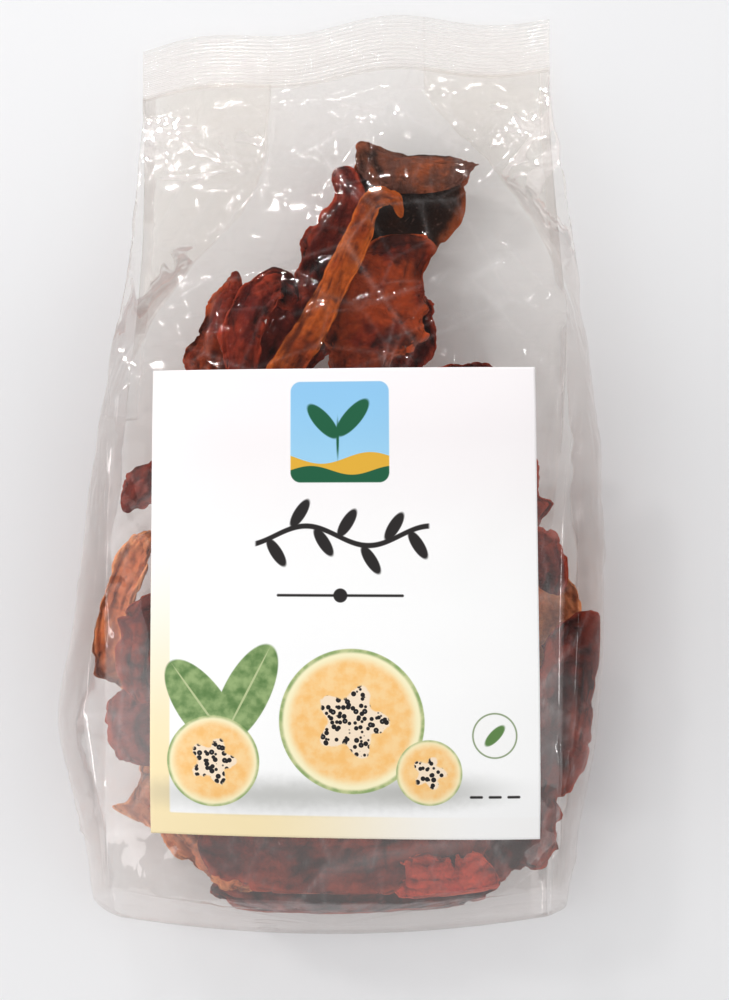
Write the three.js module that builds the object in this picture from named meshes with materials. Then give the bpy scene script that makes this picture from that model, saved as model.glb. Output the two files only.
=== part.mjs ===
// A clear side-gusset film bag of dried papaya pieces, lying on its back with its paper label up.
// Millimetres, +Z up. The bag's length runs along Y, with the heat seal at the +Y end and the block
// bottom at the -Y end, and its back panel lies on z = 0.
import * as THREE from "three";

// Driving dimensions of the film bag
const WALL = 0.5; // wall of the film
const LAYER_PITCH = 0.8; // from one folded film layer to the next, middle to middle
const FOLD_RADIUS = LAYER_PITCH / 2; // of the turn at each folded edge
const TOP_END = 111; // where the sealed end stands at the bag's middle
const TOP_SLOPE = 0.074; // the sealed end runs a little askew
const TOP_BOW = 0.00108; // how fast it falls back to either side of the middle
const TOP_WAVE = { height: 1.3, length: 47, from: -32 }; // the waves along its edge
const SEAL_WAVE = { height: 1.3, length: 69, from: -6.6, fadeFrom: 0.02, fadeTo: 0.2 }; // of the flat end, up and down
const BOTTOM_END = -113; // where the back panel ends
const BOTTOM_CURVE = 5; // how much shorter the back panel is at its two corners
const BOTTOM_HALF_WIDTH = 57;
const BOTTOM_LEAN = 0.4; // how far the bottom panel leans in for each millimetre of height
const BOTTOM_CENTRE = [0.5, 18]; // x and z of the bottom panel's middle
const BOTTOM_BULGE = 1.5; // how far the bottom panel stands out at its middle
const BOTTOM_ROWS = [0.95, 0.65, 0.3]; // shares of its size
const MIDDLE_X = 4; // of the flat sealed end
const STATION_TOP = 112; // the nominal places of the first and last stations along Y
const STATION_BOTTOM = -113;
const GUSSET_DEPTH = 31; // how far each gusset is folded in where the bag is flat
const OPEN_REACH = 6; // how far past the panel's edge a gusset stands once it is fully opened
const ROWS = 21; // film stations from the sealed end to the bottom
const ROW_SHIFT = 0.05; // crowds the stations towards both ends
const PANEL_STEPS = 12; // film steps across the front and across the back
const GUSSET_STEPS = 5; // film steps from a panel's edge to the gusset's middle fold

// Driving dimensions of the label
const LABEL_WIDTH = 89;
const LABEL_LENGTH = 107;
const LABEL_CENTRE = [3.6, -29.2];
const LABEL_TURN = 0.009; // radians, as it was stuck on
const LABEL_THICK = 0.3;
const LABEL_GAP = 0.35; // from the film's outer face to the label's underside
const LABEL_STEPS = 9;
const HALVINGS = 24; // steps of the search for the film under a point of the label

// Dried fruit
const FRUIT_AROUND = 8; // points around a strip's section
const FRUIT_ALONG = 12; // stations along a strip
const END_BLUNT = 5; // how square a strip's ends are
const END_ROUND = 2.5;
const EDGE_WAVE = 0.12; // how far its edges wander, as a share of half its width
const WARP = 0.09; // how far its middle is warped, likewise
const GOLDEN = 2.399963; // the turn that keeps one strip's waves unlike the next one's

// The film bag's form at stations along its length: [y, value] pairs, joined by a smooth curve.
const PROFILE = {
  frontHeight: [[112, 4.9], [96, 5.2], [90, 9], [80, 18.5], [66, 28.5], [45, 37.5], [25, 43], [0, 45.5],
    [-60, 46], [-85, 45], [-100, 41.5], [-113, 36]],
  backHeight: [[112, 2.5], [96, 2.2], [86, 0.4], [60, 0.25], [-113, 0.25]],
  rightPanelEdge: [[112, 53.4], [92, 53.6], [73, 54.8], [54, 56.5], [35, 58], [11, 57], [-20, 54], [-72, 53],
    [-113, 53]],
  leftPanelEdge: [[112, -46.2], [92, -46.3], [66, -46.8], [42, -48.6], [18, -51], [-12, -51], [-60, -51],
    [-113, -52]],
  rightFold: [[112, 22.5], [94, 22.5], [86, 29], [78, 37], [66, 45], [50, 53.5], [30, 59.4], [11, 62.4], [-20, 64.6],
    [-45, 65.2], [-72, 63.8], [-96, 59.6], [-113, 57]],
  leftFold: [[112, -15], [92, -15], [78, -16.5], [66, -21], [52, -33], [40, -43], [28, -50.5], [11, -54.5],
    [-12, -58], [-43, -61.5], [-68, -65.2], [-80, -63], [-96, -59.5], [-113, -57]],
  foldHeight: [[112, 3.7], [92, 4.2], [80, 8], [60, 14], [30, 18], [-40, 20], [-113, 15]],
  edgeDrop: [[112, 0], [92, 0.3], [75, 4], [50, 7], [20, 6], [-60, 5], [-113, 5]],
};

// A smooth curve through [y, value] pairs that are listed with y falling. It never overshoots a pair.
function along(pairs, y) {
  const last = pairs.length - 1;
  const chord = (k) => (pairs[k + 1][1] - pairs[k][1]) / (pairs[k + 1][0] - pairs[k][0]);
  const slope = (k) => {
    if (k === 0 || k === last) return chord(Math.min(k, last - 1));
    const [a, b] = [chord(k - 1), chord(k)];
    return a * b <= 0 ? 0 : (2 * a * b) / (a + b);
  };
  let i = 0;
  while (i < last - 1 && y < pairs[i + 1][0]) i++;
  const [[y0, v0], [y1, v1]] = [pairs[i], pairs[i + 1]];
  const span = y1 - y0;
  const t = Math.min(Math.max((y - y0) / span, 0), 1);
  const rise = t * t * (3 - 2 * t);
  return v0 + (v1 - v0) * rise + span * (slope(i) * t * (1 - t) ** 2 - slope(i + 1) * t * t * (1 - t));
}

// The film's sizes at the station that is a share v of the way down.
function stationSizes(v) {
  const y = STATION_TOP + (STATION_BOTTOM - STATION_TOP) * v;
  return Object.fromEntries(Object.entries(PROFILE).map(([name, pairs]) => [name, along(pairs, y)]));
}

// The front panel's height at x, which falls towards the panel's two edges.
function frontHeight(x, at) {
  const edge = x < 0 ? at.leftPanelEdge : at.rightPanelEdge;
  return at.frontHeight - at.edgeDrop * Math.abs(x / edge) ** 3;
}

// One station of the film's middle surface, as [x, z] points once around it: the front panel from left to
// right, the right gusset down to the back panel, the back panel, and the left gusset up again.
function filmSection(v) {
  const at = stationSizes(v);
  const edgeHeight = at.frontHeight - at.edgeDrop;
  const points = [];
  const width = at.rightPanelEdge - at.leftPanelEdge;
  for (let i = 0; i <= PANEL_STEPS; i++) {
    const x = at.leftPanelEdge + (width * i) / PANEL_STEPS;
    points.push([x, frontHeight(x, at)]);
  }
  points.push(...gusset(at.rightPanelEdge, at.rightFold, edgeHeight, at));
  for (let i = 0; i <= PANEL_STEPS; i++) {
    points.push([at.rightPanelEdge - (width * i) / PANEL_STEPS, at.backHeight]);
  }
  points.push(...gusset(at.leftPanelEdge, at.leftFold, edgeHeight, at).reverse());
  return points;
}

// A gusset at one station, from the front panel's edge to the back panel's edge. Where the bag is flat it is
// folded straight inwards, and where the bag is full it is two quarters of an ellipse that bulge outwards.
function gusset(edge, fold, edgeHeight, at) {
  const outwards = Math.sign(edge);
  const reach = (fold - edge) * outwards;
  const opened = THREE.MathUtils.smoothstep(reach, -GUSSET_DEPTH, OPEN_REACH);
  const halfFold = FOLD_RADIUS * (1 + opened);
  const bend = (t) => (1 - opened) * t + opened * Math.sin((t * Math.PI) / 2);
  const fall = (t) => (1 - opened) * t + opened * (1 - Math.cos((t * Math.PI) / 2));
  const upper = edgeHeight - LAYER_PITCH;
  const lower = at.backHeight + LAYER_PITCH;
  const middle = Math.min(Math.max(at.foldHeight, lower + halfFold), upper - halfFold);
  const points = [[edge + outwards * FOLD_RADIUS, edgeHeight - FOLD_RADIUS]];
  for (let i = 0; i <= GUSSET_STEPS; i++) {
    const t = i / GUSSET_STEPS;
    points.push([edge + (fold - edge) * bend(t), upper + (middle + halfFold - upper) * fall(t)]);
  }
  const tip = outwards * FOLD_RADIUS * (2 * opened - 1);
  points.push([fold + tip, middle]);
  for (let i = GUSSET_STEPS; i >= 0; i--) {
    const t = i / GUSSET_STEPS;
    points.push([edge + (fold - edge) * bend(t), lower + (middle - halfFold - lower) * fall(t)]);
  }
  points.push([edge + outwards * FOLD_RADIUS, at.backHeight + FOLD_RADIUS]);
  return points;
}

// Where the point [x, z] of the station that is a share v of the way down lies along Y: the sealed end is
// askew and wavy, and the bottom panel is curved in plan and leans in as it rises.
function filmY(x, z, v) {
  const aside = x - MIDDLE_X;
  const wave = TOP_WAVE.height * Math.cos((2 * Math.PI * (x - TOP_WAVE.from)) / TOP_WAVE.length);
  const top = TOP_END + TOP_SLOPE * aside - TOP_BOW * aside ** 2 + wave;
  const bottom = BOTTOM_END + BOTTOM_CURVE * (x / BOTTOM_HALF_WIDTH) ** 2 + BOTTOM_LEAN * z;
  return top + (bottom - top) * v;
}

// A gentle wave in the flat sealed end, which fades out down the bag.
function sealWave(x, v) {
  const fade = 1 - THREE.MathUtils.smoothstep(v, SEAL_WAVE.fadeFrom, SEAL_WAVE.fadeTo);
  return SEAL_WAVE.height * (1 + Math.sin((2 * Math.PI * (x - SEAL_WAVE.from)) / SEAL_WAVE.length)) * fade;
}

// The point of the front panel, in the middle of its wall, at x and a share v of the way down.
function frontPoint(x, v) {
  const z = frontHeight(x, stationSizes(v)) + sealWave(x, v);
  return new THREE.Vector3(x, filmY(x, z, v), z);
}

// The stations' shares of the way down, closer together towards both ends.
function filmRows() {
  return Array.from({ length: ROWS + 1 }, (_, i) => {
    const t = i / ROWS;
    return t - ROW_SHIFT * Math.sin(2 * Math.PI * t);
  });
}

// The film's middle surface as rows of points, ending in the bottom panel's rows.
function filmSurface() {
  const rows = filmRows().map((v) =>
    filmSection(v).map(([x, z]) => {
      const lifted = z + sealWave(x, v);
      return new THREE.Vector3(x, filmY(x, lifted, v), lifted);
    }),
  );
  const rim = rows[rows.length - 1];
  const [x, z] = BOTTOM_CENTRE;
  const pole = new THREE.Vector3(x, BOTTOM_END + BOTTOM_LEAN * z - BOTTOM_BULGE, z);
  for (const share of BOTTOM_ROWS) rows.push(rim.map((p) => p.clone().lerp(pole, 1 - share)));
  return { rows, pole };
}

// The normal of the surface at each point of the rows, from the steps to its neighbours.
function rowNormals(rows) {
  const count = rows[0].length;
  return rows.map((row, i) =>
    row.map((_, j) => {
      const before = rows[Math.max(i - 1, 0)][j];
      const after = rows[Math.min(i + 1, rows.length - 1)][j];
      const here = row[j];
      const down = after.clone().sub(before);
      const ahead = row[(j + 1) % count].clone().sub(here).normalize();
      const behind = here.clone().sub(row[(j + count - 1) % count]).normalize();
      return ahead.add(behind).cross(down).normalize();
    }),
  );
}

// A closed thin wall on both sides of a surface that is open at its first row and closed at its pole.
function wallGeometry(rows, pole, wall) {
  const normals = rowNormals(rows);
  const count = rows[0].length;
  const shifted = (side) =>
    rows.flatMap((row, i) => row.map((p, j) => p.clone().addScaledVector(normals[i][j], (side * wall) / 2)));
  const outer = shifted(1);
  const inner = shifted(-1);
  const poleOut = pole.clone().setY(pole.y - wall / 2);
  const poleIn = pole.clone().setY(pole.y + wall / 2);
  const points = [...outer, ...inner, poleOut, poleIn];
  const innerStart = outer.length;
  const index = [];
  const quad = (a, b, c, d) => index.push(a, b, c, a, c, d);
  for (let i = 0; i < rows.length - 1; i++) {
    for (let j = 0; j < count; j++) {
      const k = (j + 1) % count;
      const [a, b, c, d] = [i * count + j, (i + 1) * count + j, (i + 1) * count + k, i * count + k];
      quad(d, c, b, a);
      quad(innerStart + a, innerStart + b, innerStart + c, innerStart + d);
    }
  }
  const lastRow = (rows.length - 1) * count;
  for (let j = 0; j < count; j++) {
    const k = (j + 1) % count;
    index.push(lastRow + k, 2 * innerStart, lastRow + j);
    index.push(innerStart + lastRow + j, 2 * innerStart + 1, innerStart + lastRow + k);
    quad(j, innerStart + j, innerStart + k, k);
  }
  return closedGeometry(points, index);
}

// A BufferGeometry from points and triangle indices.
function closedGeometry(points, index) {
  const geometry = new THREE.BufferGeometry();
  geometry.setAttribute(
    "position",
    new THREE.Float32BufferAttribute(points.flatMap((p) => [p.x, p.y, p.z]), 3),
  );
  geometry.setIndex(index);
  geometry.computeVertexNormals();
  return geometry;
}

function filmBag() {
  const { rows, pole } = filmSurface();
  return wallGeometry(rows, pole, WALL);
}

// The label: a thin sheet that follows the front panel, a small gap above its outer face.
function frontLabel() {
  const side = LABEL_STEPS + 1;
  const layer = (lift) => {
    const points = [];
    for (let i = 0; i < side; i++) {
      for (let j = 0; j < side; j++) {
        const u = LABEL_WIDTH * (j / LABEL_STEPS - 0.5);
        const w = LABEL_LENGTH * (0.5 - i / LABEL_STEPS);
        const x = LABEL_CENTRE[0] + u * Math.cos(LABEL_TURN) - w * Math.sin(LABEL_TURN);
        const y = LABEL_CENTRE[1] + u * Math.sin(LABEL_TURN) + w * Math.cos(LABEL_TURN);
        points.push(new THREE.Vector3(x, y, frontHeightAt(x, y) + lift));
      }
    }
    return points;
  };
  const base = WALL / 2 + LABEL_GAP;
  const points = [...layer(base + LABEL_THICK), ...layer(base)];
  const under = side * side;
  const index = [];
  const quad = (a, b, c, d) => index.push(a, b, c, a, c, d);
  for (let i = 0; i < LABEL_STEPS; i++) {
    for (let j = 0; j < LABEL_STEPS; j++) {
      const [a, b, c, d] = [i * side + j, (i + 1) * side + j, (i + 1) * side + j + 1, i * side + j + 1];
      quad(a, b, c, d);
      quad(under + d, under + c, under + b, under + a);
    }
    const last = LABEL_STEPS;
    quad(i * side, under + i * side, under + (i + 1) * side, (i + 1) * side);
    quad((i + 1) * side + last, under + (i + 1) * side + last, under + i * side + last, i * side + last);
    quad(i + 1, under + i + 1, under + i, i);
    quad(last * side + i, under + last * side + i, under + last * side + i + 1, last * side + i + 1);
  }
  return closedGeometry(points, index);
}

// The film's front height over a place in plan, found by halving the share of the way down.
function frontHeightAt(x, y) {
  let [low, high] = [0, 1];
  for (let k = 0; k < HALVINGS; k++) {
    const v = (low + high) / 2;
    if (frontPoint(x, v).y > y) low = v;
    else high = v;
  }
  return frontPoint(x, low).z;
}

// The dried pieces. path: the middle line, [x, y, z]. width: across, at even shares of the path. thick: of the
// flesh. roll: degrees about the path, from its start to its end. curl: how far the section bends, in degrees,
// with its edges rising where it is positive. side: the direction across, for a piece that folds over.
const FRUIT = {
  // At the top, above the label
  papaya_top_fold: {
    tone: "mauve", width: [26, 28, 28, 27, 25, 20], thick: 2.2, roll: [-6, 6], curl: [10, 40], side: [1, -0.19, 0],
    path: [[20.5, 69, 19], [20.5, 75, 18.5], [20.5, 76.5, 13.5], [19, 70, 8.5], [16.5, 60, 5.5], [12.5, 50, 5]],
  },
  papaya_dark_knob: {
    tone: "maroon", width: [11, 16, 17, 16, 17, 14], thick: 3, roll: [10, -10], curl: [60, 50],
    path: [[4, 74, 13], [2, 67, 13.5], [0, 58, 13.5], [-4, 49, 13], [-7, 39, 13], [-9, 27, 13.5]],
  },
  papaya_amber_hook: {
    tone: "amber", width: [5, 7.5, 8, 8.5, 9, 9], thick: 2.6, roll: [0, 12], curl: [70, 40],
    path: [[17, 62, 18.5], [15, 66, 21], [10, 65, 24], [6.5, 57, 26.5], [1.5, 46, 30], [-4, 34, 34.5], [-10, 24, 37.5],
      [-14, 14, 38.5]],
  },
  papaya_red_sheet: {
    tone: "red", width: [18, 25, 27, 24], thick: 1.8, roll: [-4, 6], curl: [40, 50],
    path: [[19, 58, 17.5], [14, 46, 21.5], [9, 34, 25.5], [3, 21, 28.5]],
  },
  papaya_small_scrap: {
    tone: "maroon", width: [7, 10, 11, 9], thick: 2.4, roll: [12, -8], curl: [50, 30],
    path: [[25, 53, 12.5], [24.5, 45, 13.5], [22, 36, 15], [20, 27, 16]],
  },
  papaya_pointed_strip: {
    tone: "red", width: [6, 12, 13, 13], thick: 2.4, roll: [14, -6], curl: [60, 50],
    path: [[-22.5, 49.5, 14], [-24.5, 40, 18], [-28, 28, 22], [-32, 17, 24.5]],
  },
  papaya_arched_strip: {
    tone: "maroon", width: [9, 10, 9, 8], thick: 2.4, roll: [4, -14], curl: [70, 60],
    path: [[-21, 21, 32], [-20, 33, 31.5], [-17, 42, 29.5], [-12, 45.5, 27], [-8, 41, 24.5]],
  },
  papaya_dark_wedge: {
    tone: "maroon", width: [13, 17, 14], thick: 2.8, roll: [-8, 8], curl: [50, 50],
    path: [[-17, 13, 25], [-14, 25, 23.5], [-9, 38, 21]],
  },
  papaya_label_top_strip: {
    tone: "maroon", width: [9, 12, 12, 9], thick: 2.8, roll: [-10, 10], curl: [60, 60],
    path: [[19, 17, 33.5], [27, 21.5, 34], [36, 22, 33], [44, 18, 30]],
  },
  // Down the left side
  papaya_left_tip: {
    tone: "maroon", width: [7, 12, 13, 11], thick: 2.8, roll: [8, -8], curl: [40, 60],
    path: [[-49.5, -7, 24], [-42, -1, 26], [-32, 3, 28], [-22, 4, 30]],
  },
  papaya_left_tan: {
    tone: "tan", width: [8, 9.5, 10, 10, 8], thick: 2.6, roll: [-10, 14], curl: [60, 60],
    path: [[-42, -13, 23], [-46, -19, 22.5], [-51, -28, 20], [-54.5, -38, 17], [-54, -46, 13], [-48, -51, 10.5]],
  },
  papaya_left_upper_maroon: {
    tone: "maroon", width: [10, 13, 13, 10], thick: 2.8, roll: [6, -12], curl: [50, 70],
    path: [[-42, -27, 31], [-44.5, -38, 32], [-45.5, -50, 31.5], [-43, -60, 30]],
  },
  papaya_left_lower_maroon: {
    tone: "maroon", width: [9, 12, 13, 10], thick: 2.8, roll: [10, -10], curl: [60, 50],
    path: [[-46, -54, 20], [-47.5, -62, 20.5], [-46, -72, 21.5], [-41, -80, 22.5]],
  },
  papaya_left_hook: {
    tone: "tan", width: [6, 7.5, 7, 6], thick: 2.4, roll: [0, 10], curl: [60, 60],
    path: [[-43, -66, 12], [-49, -72, 12], [-51.5, -80, 13], [-47.5, -86.5, 13], [-39, -89, 12.5]],
  },
  // Down the right side
  papaya_right_horn: {
    tone: "maroon", width: [8, 9, 9, 9, 7], thick: 3, roll: [10, -10], curl: [60, 60],
    path: [[44, 8, 20], [48, 2, 23], [50.5, -5, 24], [52, -12, 23], [50, -17, 22]],
  },
  papaya_right_lobe: {
    tone: "maroon", width: [10, 11, 10, 8], thick: 2.8, roll: [0, -12], curl: [70, 50],
    path: [[44, -15, 34], [50, -20, 31], [54, -25, 27.5], [54, -32, 23.5]],
  },
  papaya_right_tan: {
    tone: "tan", width: [10, 13, 13, 10], thick: 2.2, roll: [0, -6], curl: [40, 50],
    path: [[50, -20, 14], [54, -28, 15], [54.5, -37, 14], [51, -46, 13]],
  },
  papaya_right_big: {
    tone: "maroon", width: [14, 17.5, 18, 16, 12], thick: 3, roll: [-4, 4], curl: [80, 70],
    path: [[55.5, -35, 23.5], [55.8, -48, 21.5], [54.5, -62, 21], [51, -75, 20], [46.5, -85, 18]],
  },
  // Under the label's lower edge
  papaya_bottom_tan: {
    tone: "tan", width: [8, 9.5, 9, 7], thick: 2.6, roll: [8, -8], curl: [60, 60],
    path: [[-42, -85, 21.5], [-35, -92, 20], [-26, -97, 18], [-14, -99.5, 16.5]],
  },
  papaya_bottom_dark: {
    tone: "maroon", width: [12, 16, 16, 13], thick: 3.2, roll: [8, -8], curl: [50, 50],
    path: [[-31, -85, 29], [-16, -89, 28.5], [0, -89.5, 29], [14, -87, 31]],
  },
  papaya_bottom_red: {
    tone: "red", width: [13, 15, 15, 12], thick: 3.4, roll: [8, -8], curl: [60, 60],
    path: [[8, -94.5, 20], [20, -94.5, 22], [32, -92.5, 24.5], [43, -86.5, 27]],
  },
  papaya_bottom_edge: {
    tone: "red", width: [8, 10, 10.5, 9], thick: 2.8, roll: [14, -10], curl: [50, 60],
    path: [[-29, -97, 9], [-4, -102, 9], [19, -101.5, 10], [40, -95, 10.5]],
  },
  // The fill that the label hides, in four loose layers from the label down
  papaya_upper_left: {
    tone: "red", width: [14, 20, 19, 13], thick: 3, roll: [8, -10], curl: [60, 70],
    path: [[-27, -76, 33], [-25, -52, 36], [-27, -28, 36], [-25, -8, 36]],
  },
  papaya_upper_middle: {
    tone: "maroon", width: [14, 21, 20, 14], thick: 3.2, roll: [-8, 10], curl: [60, 50],
    path: [[1, -78, 34], [-1, -50, 37], [1, -24, 38], [-1, 0, 37]],
  },
  papaya_upper_right: {
    tone: "red", width: [13, 19, 18, 13], thick: 3, roll: [8, -8], curl: [50, 70],
    path: [[25, -78, 34], [26, -52, 36], [25, -26, 37], [27, -1, 36]],
  },
  papaya_inner_left: {
    tone: "amber", width: [13, 19, 18, 12], thick: 3, roll: [-10, 10], curl: [70, 60],
    path: [[-30, -72, 26], [-16, -56, 27], [-20, -34, 28], [-30, -16, 27]],
  },
  papaya_inner_middle: {
    tone: "red", width: [12, 17, 18, 12], thick: 3, roll: [10, -8], curl: [60, 70],
    path: [[-2, -76, 26], [6, -56, 27.5], [1, -32, 28], [-4, -12, 28]],
  },
  papaya_inner_right: {
    tone: "tan", width: [12, 18, 17, 12], thick: 3, roll: [-8, 10], curl: [70, 50],
    path: [[30, -74, 25.5], [27, -54, 26.5], [24, -32, 28], [31, -12, 27]],
  },
  papaya_middle_low: {
    tone: "red", width: [13, 19, 18, 13], thick: 3.4, roll: [8, -10], curl: [80, 70],
    path: [[-35, -77, 15], [-12, -80, 15.5], [10, -76, 16], [35, -79, 15.5]],
  },
  papaya_middle_belly: {
    tone: "amber", width: [13, 20, 19, 14], thick: 3.4, roll: [-8, 10], curl: [80, 60],
    path: [[-37, -52, 15.5], [-14, -55, 16.5], [8, -51, 16.5], [38, -54, 15.5]],
  },
  papaya_middle_high: {
    tone: "maroon", width: [14, 20, 20, 14], thick: 3.4, roll: [10, -8], curl: [70, 80],
    path: [[-38, -25, 16], [-16, -28, 17], [8, -24, 17], [38, -27, 16]],
  },
  papaya_middle_neck: {
    tone: "tan", width: [12, 17, 17, 13], thick: 3.2, roll: [-8, 8], curl: [80, 60],
    path: [[-36, -1, 17.5], [-12, 2, 18.5], [12, 1, 19], [38, -5, 17]],
  },
  papaya_low_left: {
    tone: "maroon", width: [15, 21, 20, 14], thick: 3.6, roll: [4, -4], curl: [70, 80],
    path: [[-34, -90, 5], [-37, -66, 4], [-35, -40, 4.5], [-37, -14, 5]],
  },
  papaya_low_middle: {
    tone: "amber", width: [16, 23, 22, 16], thick: 3.6, roll: [-4, 4], curl: [80, 60],
    path: [[-7, -92, 5], [-9, -66, 4], [-6, -40, 4.5], [-9, -12, 5]],
  },
  papaya_low_right: {
    tone: "red", width: [16, 23, 22, 15], thick: 3.6, roll: [4, -4], curl: [60, 80],
    path: [[21, -90, 5], [19, -64, 4], [22, -38, 4.5], [19, -10, 5]],
  },
  papaya_low_side: {
    tone: "tan", width: [10, 13, 13, 10], thick: 3.2, roll: [-4, 4], curl: [60, 70],
    path: [[42, -84, 6], [42, -62, 5], [43, -40, 5], [42, -18, 6]],
  },
  papaya_neck_left: {
    tone: "amber", width: [14, 19, 18, 11], thick: 3.2, roll: [4, -4], curl: [70, 70],
    path: [[-30, -8, 6], [-26, 8, 5], [-22, 24, 5], [-20, 38, 5.5]],
  },
  papaya_neck_right: {
    tone: "maroon", width: [14, 19, 17, 11], thick: 3.2, roll: [-4, 4], curl: [60, 70],
    path: [[12, -4, 6.5], [16, 10, 5.5], [12, 26, 5], [8, 40, 5.5]],
  },
};

// A closed skin around a dried strip: an oval section bent by its curl, carried along the middle line, narrower
// at both ends, with a slow warp that runs along it.
function fruitGeometry(spec, order) {
  const curve = new THREE.CatmullRomCurve3(spec.path.map((p) => new THREE.Vector3(...p)), false, "centripetal");
  const phase = order * GOLDEN;
  const between = (values, t) => {
    const place = t * (values.length - 1);
    const i = Math.min(Math.floor(place), values.length - 2);
    return values[i] + (values[i + 1] - values[i]) * (place - i);
  };
  const rings = [];
  for (let i = 1; i < FRUIT_ALONG; i++) {
    const t = (1 - Math.cos((Math.PI * i) / FRUIT_ALONG)) / 2;
    const centre = curve.getPoint(t);
    const ahead = curve.getTangent(t);
    const flat = spec.side ? new THREE.Vector3(...spec.side) : new THREE.Vector3(0, 0, 1).cross(ahead);
    const across = flat.addScaledVector(ahead, -flat.dot(ahead)).normalize();
    const up = ahead.clone().cross(across);
    const roll = THREE.MathUtils.degToRad(between(spec.roll, t));
    const side = across.clone().multiplyScalar(Math.cos(roll)).addScaledVector(up, Math.sin(roll));
    const out = up.multiplyScalar(Math.cos(roll)).addScaledVector(across, -Math.sin(roll));
    const taper = (1 - Math.abs(2 * t - 1) ** END_BLUNT) ** (1 / END_ROUND);
    const half = (between(spec.width, t) / 2) * taper;
    const bend = THREE.MathUtils.degToRad(between(spec.curl, t)) / 2 / half;
    const ring = [];
    for (let k = 0; k < FRUIT_AROUND; k++) {
      const turn = (2 * Math.PI * (k + 0.5)) / FRUIT_AROUND;
      const edge = Math.cos(turn);
      const s = edge * half * (1 + EDGE_WAVE * Math.sin(12 * t + phase * (edge < 0 ? 1 : 2)));
      const lift = 0.5 * spec.thick * taper * Math.sin(turn);
      const warp = WARP * half * taper * Math.sin(7 * t + 2.2 * edge + phase);
      const angle = bend * s;
      const x = bend ? Math.sin(angle) / bend - lift * Math.sin(angle) : s;
      const z = (bend ? (1 - Math.cos(angle)) / bend + lift * Math.cos(angle) : lift) + warp;
      ring.push(centre.clone().addScaledVector(side, x).addScaledVector(out, z));
    }
    rings.push(ring);
  }
  return ringGeometry(rings, curve.getPoint(0), curve.getPoint(1));
}

// A closed skin over rings of points, with a pole at each end.
function ringGeometry(rings, first, last) {
  const count = rings[0].length;
  const points = [...rings.flat(), first, last];
  const [start, end] = [points.length - 2, points.length - 1];
  const index = [];
  for (let i = 0; i < rings.length - 1; i++) {
    for (let k = 0; k < count; k++) {
      const n = (k + 1) % count;
      const [a, b, c, d] = [i * count + k, i * count + n, (i + 1) * count + n, (i + 1) * count + k];
      index.push(a, b, c, a, c, d);
    }
  }
  const lastRing = (rings.length - 1) * count;
  for (let k = 0; k < count; k++) {
    const n = (k + 1) % count;
    index.push(start, n, k, lastRing + k, lastRing + n, end);
  }
  return closedGeometry(points, index);
}

const TONES = {
  mauve: 0x6b3d36,
  maroon: 0x4a1512,
  red: 0x9a2c16,
  amber: 0xb9561c,
  tan: 0xb4743c,
};

function material(colour, roughness, opacity = 1) {
  return new THREE.MeshStandardMaterial({ color: colour, roughness, metalness: 0, opacity, transparent: opacity < 1 });
}

const bag = new THREE.Group();

function add(name, geometry, finish) {
  const mesh = new THREE.Mesh(geometry, finish);
  mesh.name = name;
  bag.add(mesh);
}

add("film_bag", filmBag(), material(0xe8ece8, 0.12, 0.25));
add("front_label", frontLabel(), material(0xf7f4ef, 0.6));
const tones = Object.fromEntries(Object.entries(TONES).map(([tone, colour]) => [tone, material(colour, 0.45)]));
Object.entries(FRUIT).forEach(([name, spec], order) => add(name, fruitGeometry(spec, order), tones[spec.tone]));

export default bag;
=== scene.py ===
"""The looks of a clear side-gusset film bag of dried papaya pieces, lying on its back with its label up.

The bag's length runs along Y, with the heat seal at the +Y end and the block bottom at the -Y end. Shapes
are worked out in millimetres as arrays of points and put into meshes in metres, in the same frame as the
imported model.
"""

import itertools
import math

import bpy
import numpy as np
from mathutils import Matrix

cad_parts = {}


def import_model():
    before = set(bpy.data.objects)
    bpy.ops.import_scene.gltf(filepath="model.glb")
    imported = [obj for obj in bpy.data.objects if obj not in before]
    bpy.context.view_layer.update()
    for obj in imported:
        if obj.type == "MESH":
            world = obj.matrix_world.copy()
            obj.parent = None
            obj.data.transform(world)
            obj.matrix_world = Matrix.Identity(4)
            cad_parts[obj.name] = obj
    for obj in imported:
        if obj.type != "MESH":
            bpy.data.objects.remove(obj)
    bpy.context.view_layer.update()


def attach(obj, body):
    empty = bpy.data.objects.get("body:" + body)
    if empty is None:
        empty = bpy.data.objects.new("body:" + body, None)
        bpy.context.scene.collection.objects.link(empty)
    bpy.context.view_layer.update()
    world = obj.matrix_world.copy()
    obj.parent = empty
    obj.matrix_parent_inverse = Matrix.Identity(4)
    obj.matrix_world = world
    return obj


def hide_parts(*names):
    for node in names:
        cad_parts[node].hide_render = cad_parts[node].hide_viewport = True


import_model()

MM = 0.001

# The film bag's driving dimensions, in millimetres
TOP_END = 111
MIDDLE_X = 4
TOP_SLOPE = 0.074
TOP_BOW = 0.00108
TOP_WAVE = {"height": 1.3, "length": 47, "start": -32}
SEAL_WAVE = {"height": 1.3, "length": 69, "start": -6.6, "fade_from": 0.02, "fade_to": 0.2}
BOTTOM_END = -113
BOTTOM_CURVE = 5
BOTTOM_HALF_WIDTH = 57
BOTTOM_LEAN = 0.4
BOTTOM_CENTRE = (0.5, 18)
BOTTOM_BULGE = 1.5
STATION_TOP = 112
STATION_BOTTOM = -113
GUSSET_DEPTH = 31
OPEN_REACH = 6
LAYER_PITCH = 0.45  # between folded film layers
SEAL_SHARE = 0.058  # how far down the bag the ribbed seal reaches, as a share of its length
SEAL_RIBS = 14
RIB_HEIGHT = 0.24

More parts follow.
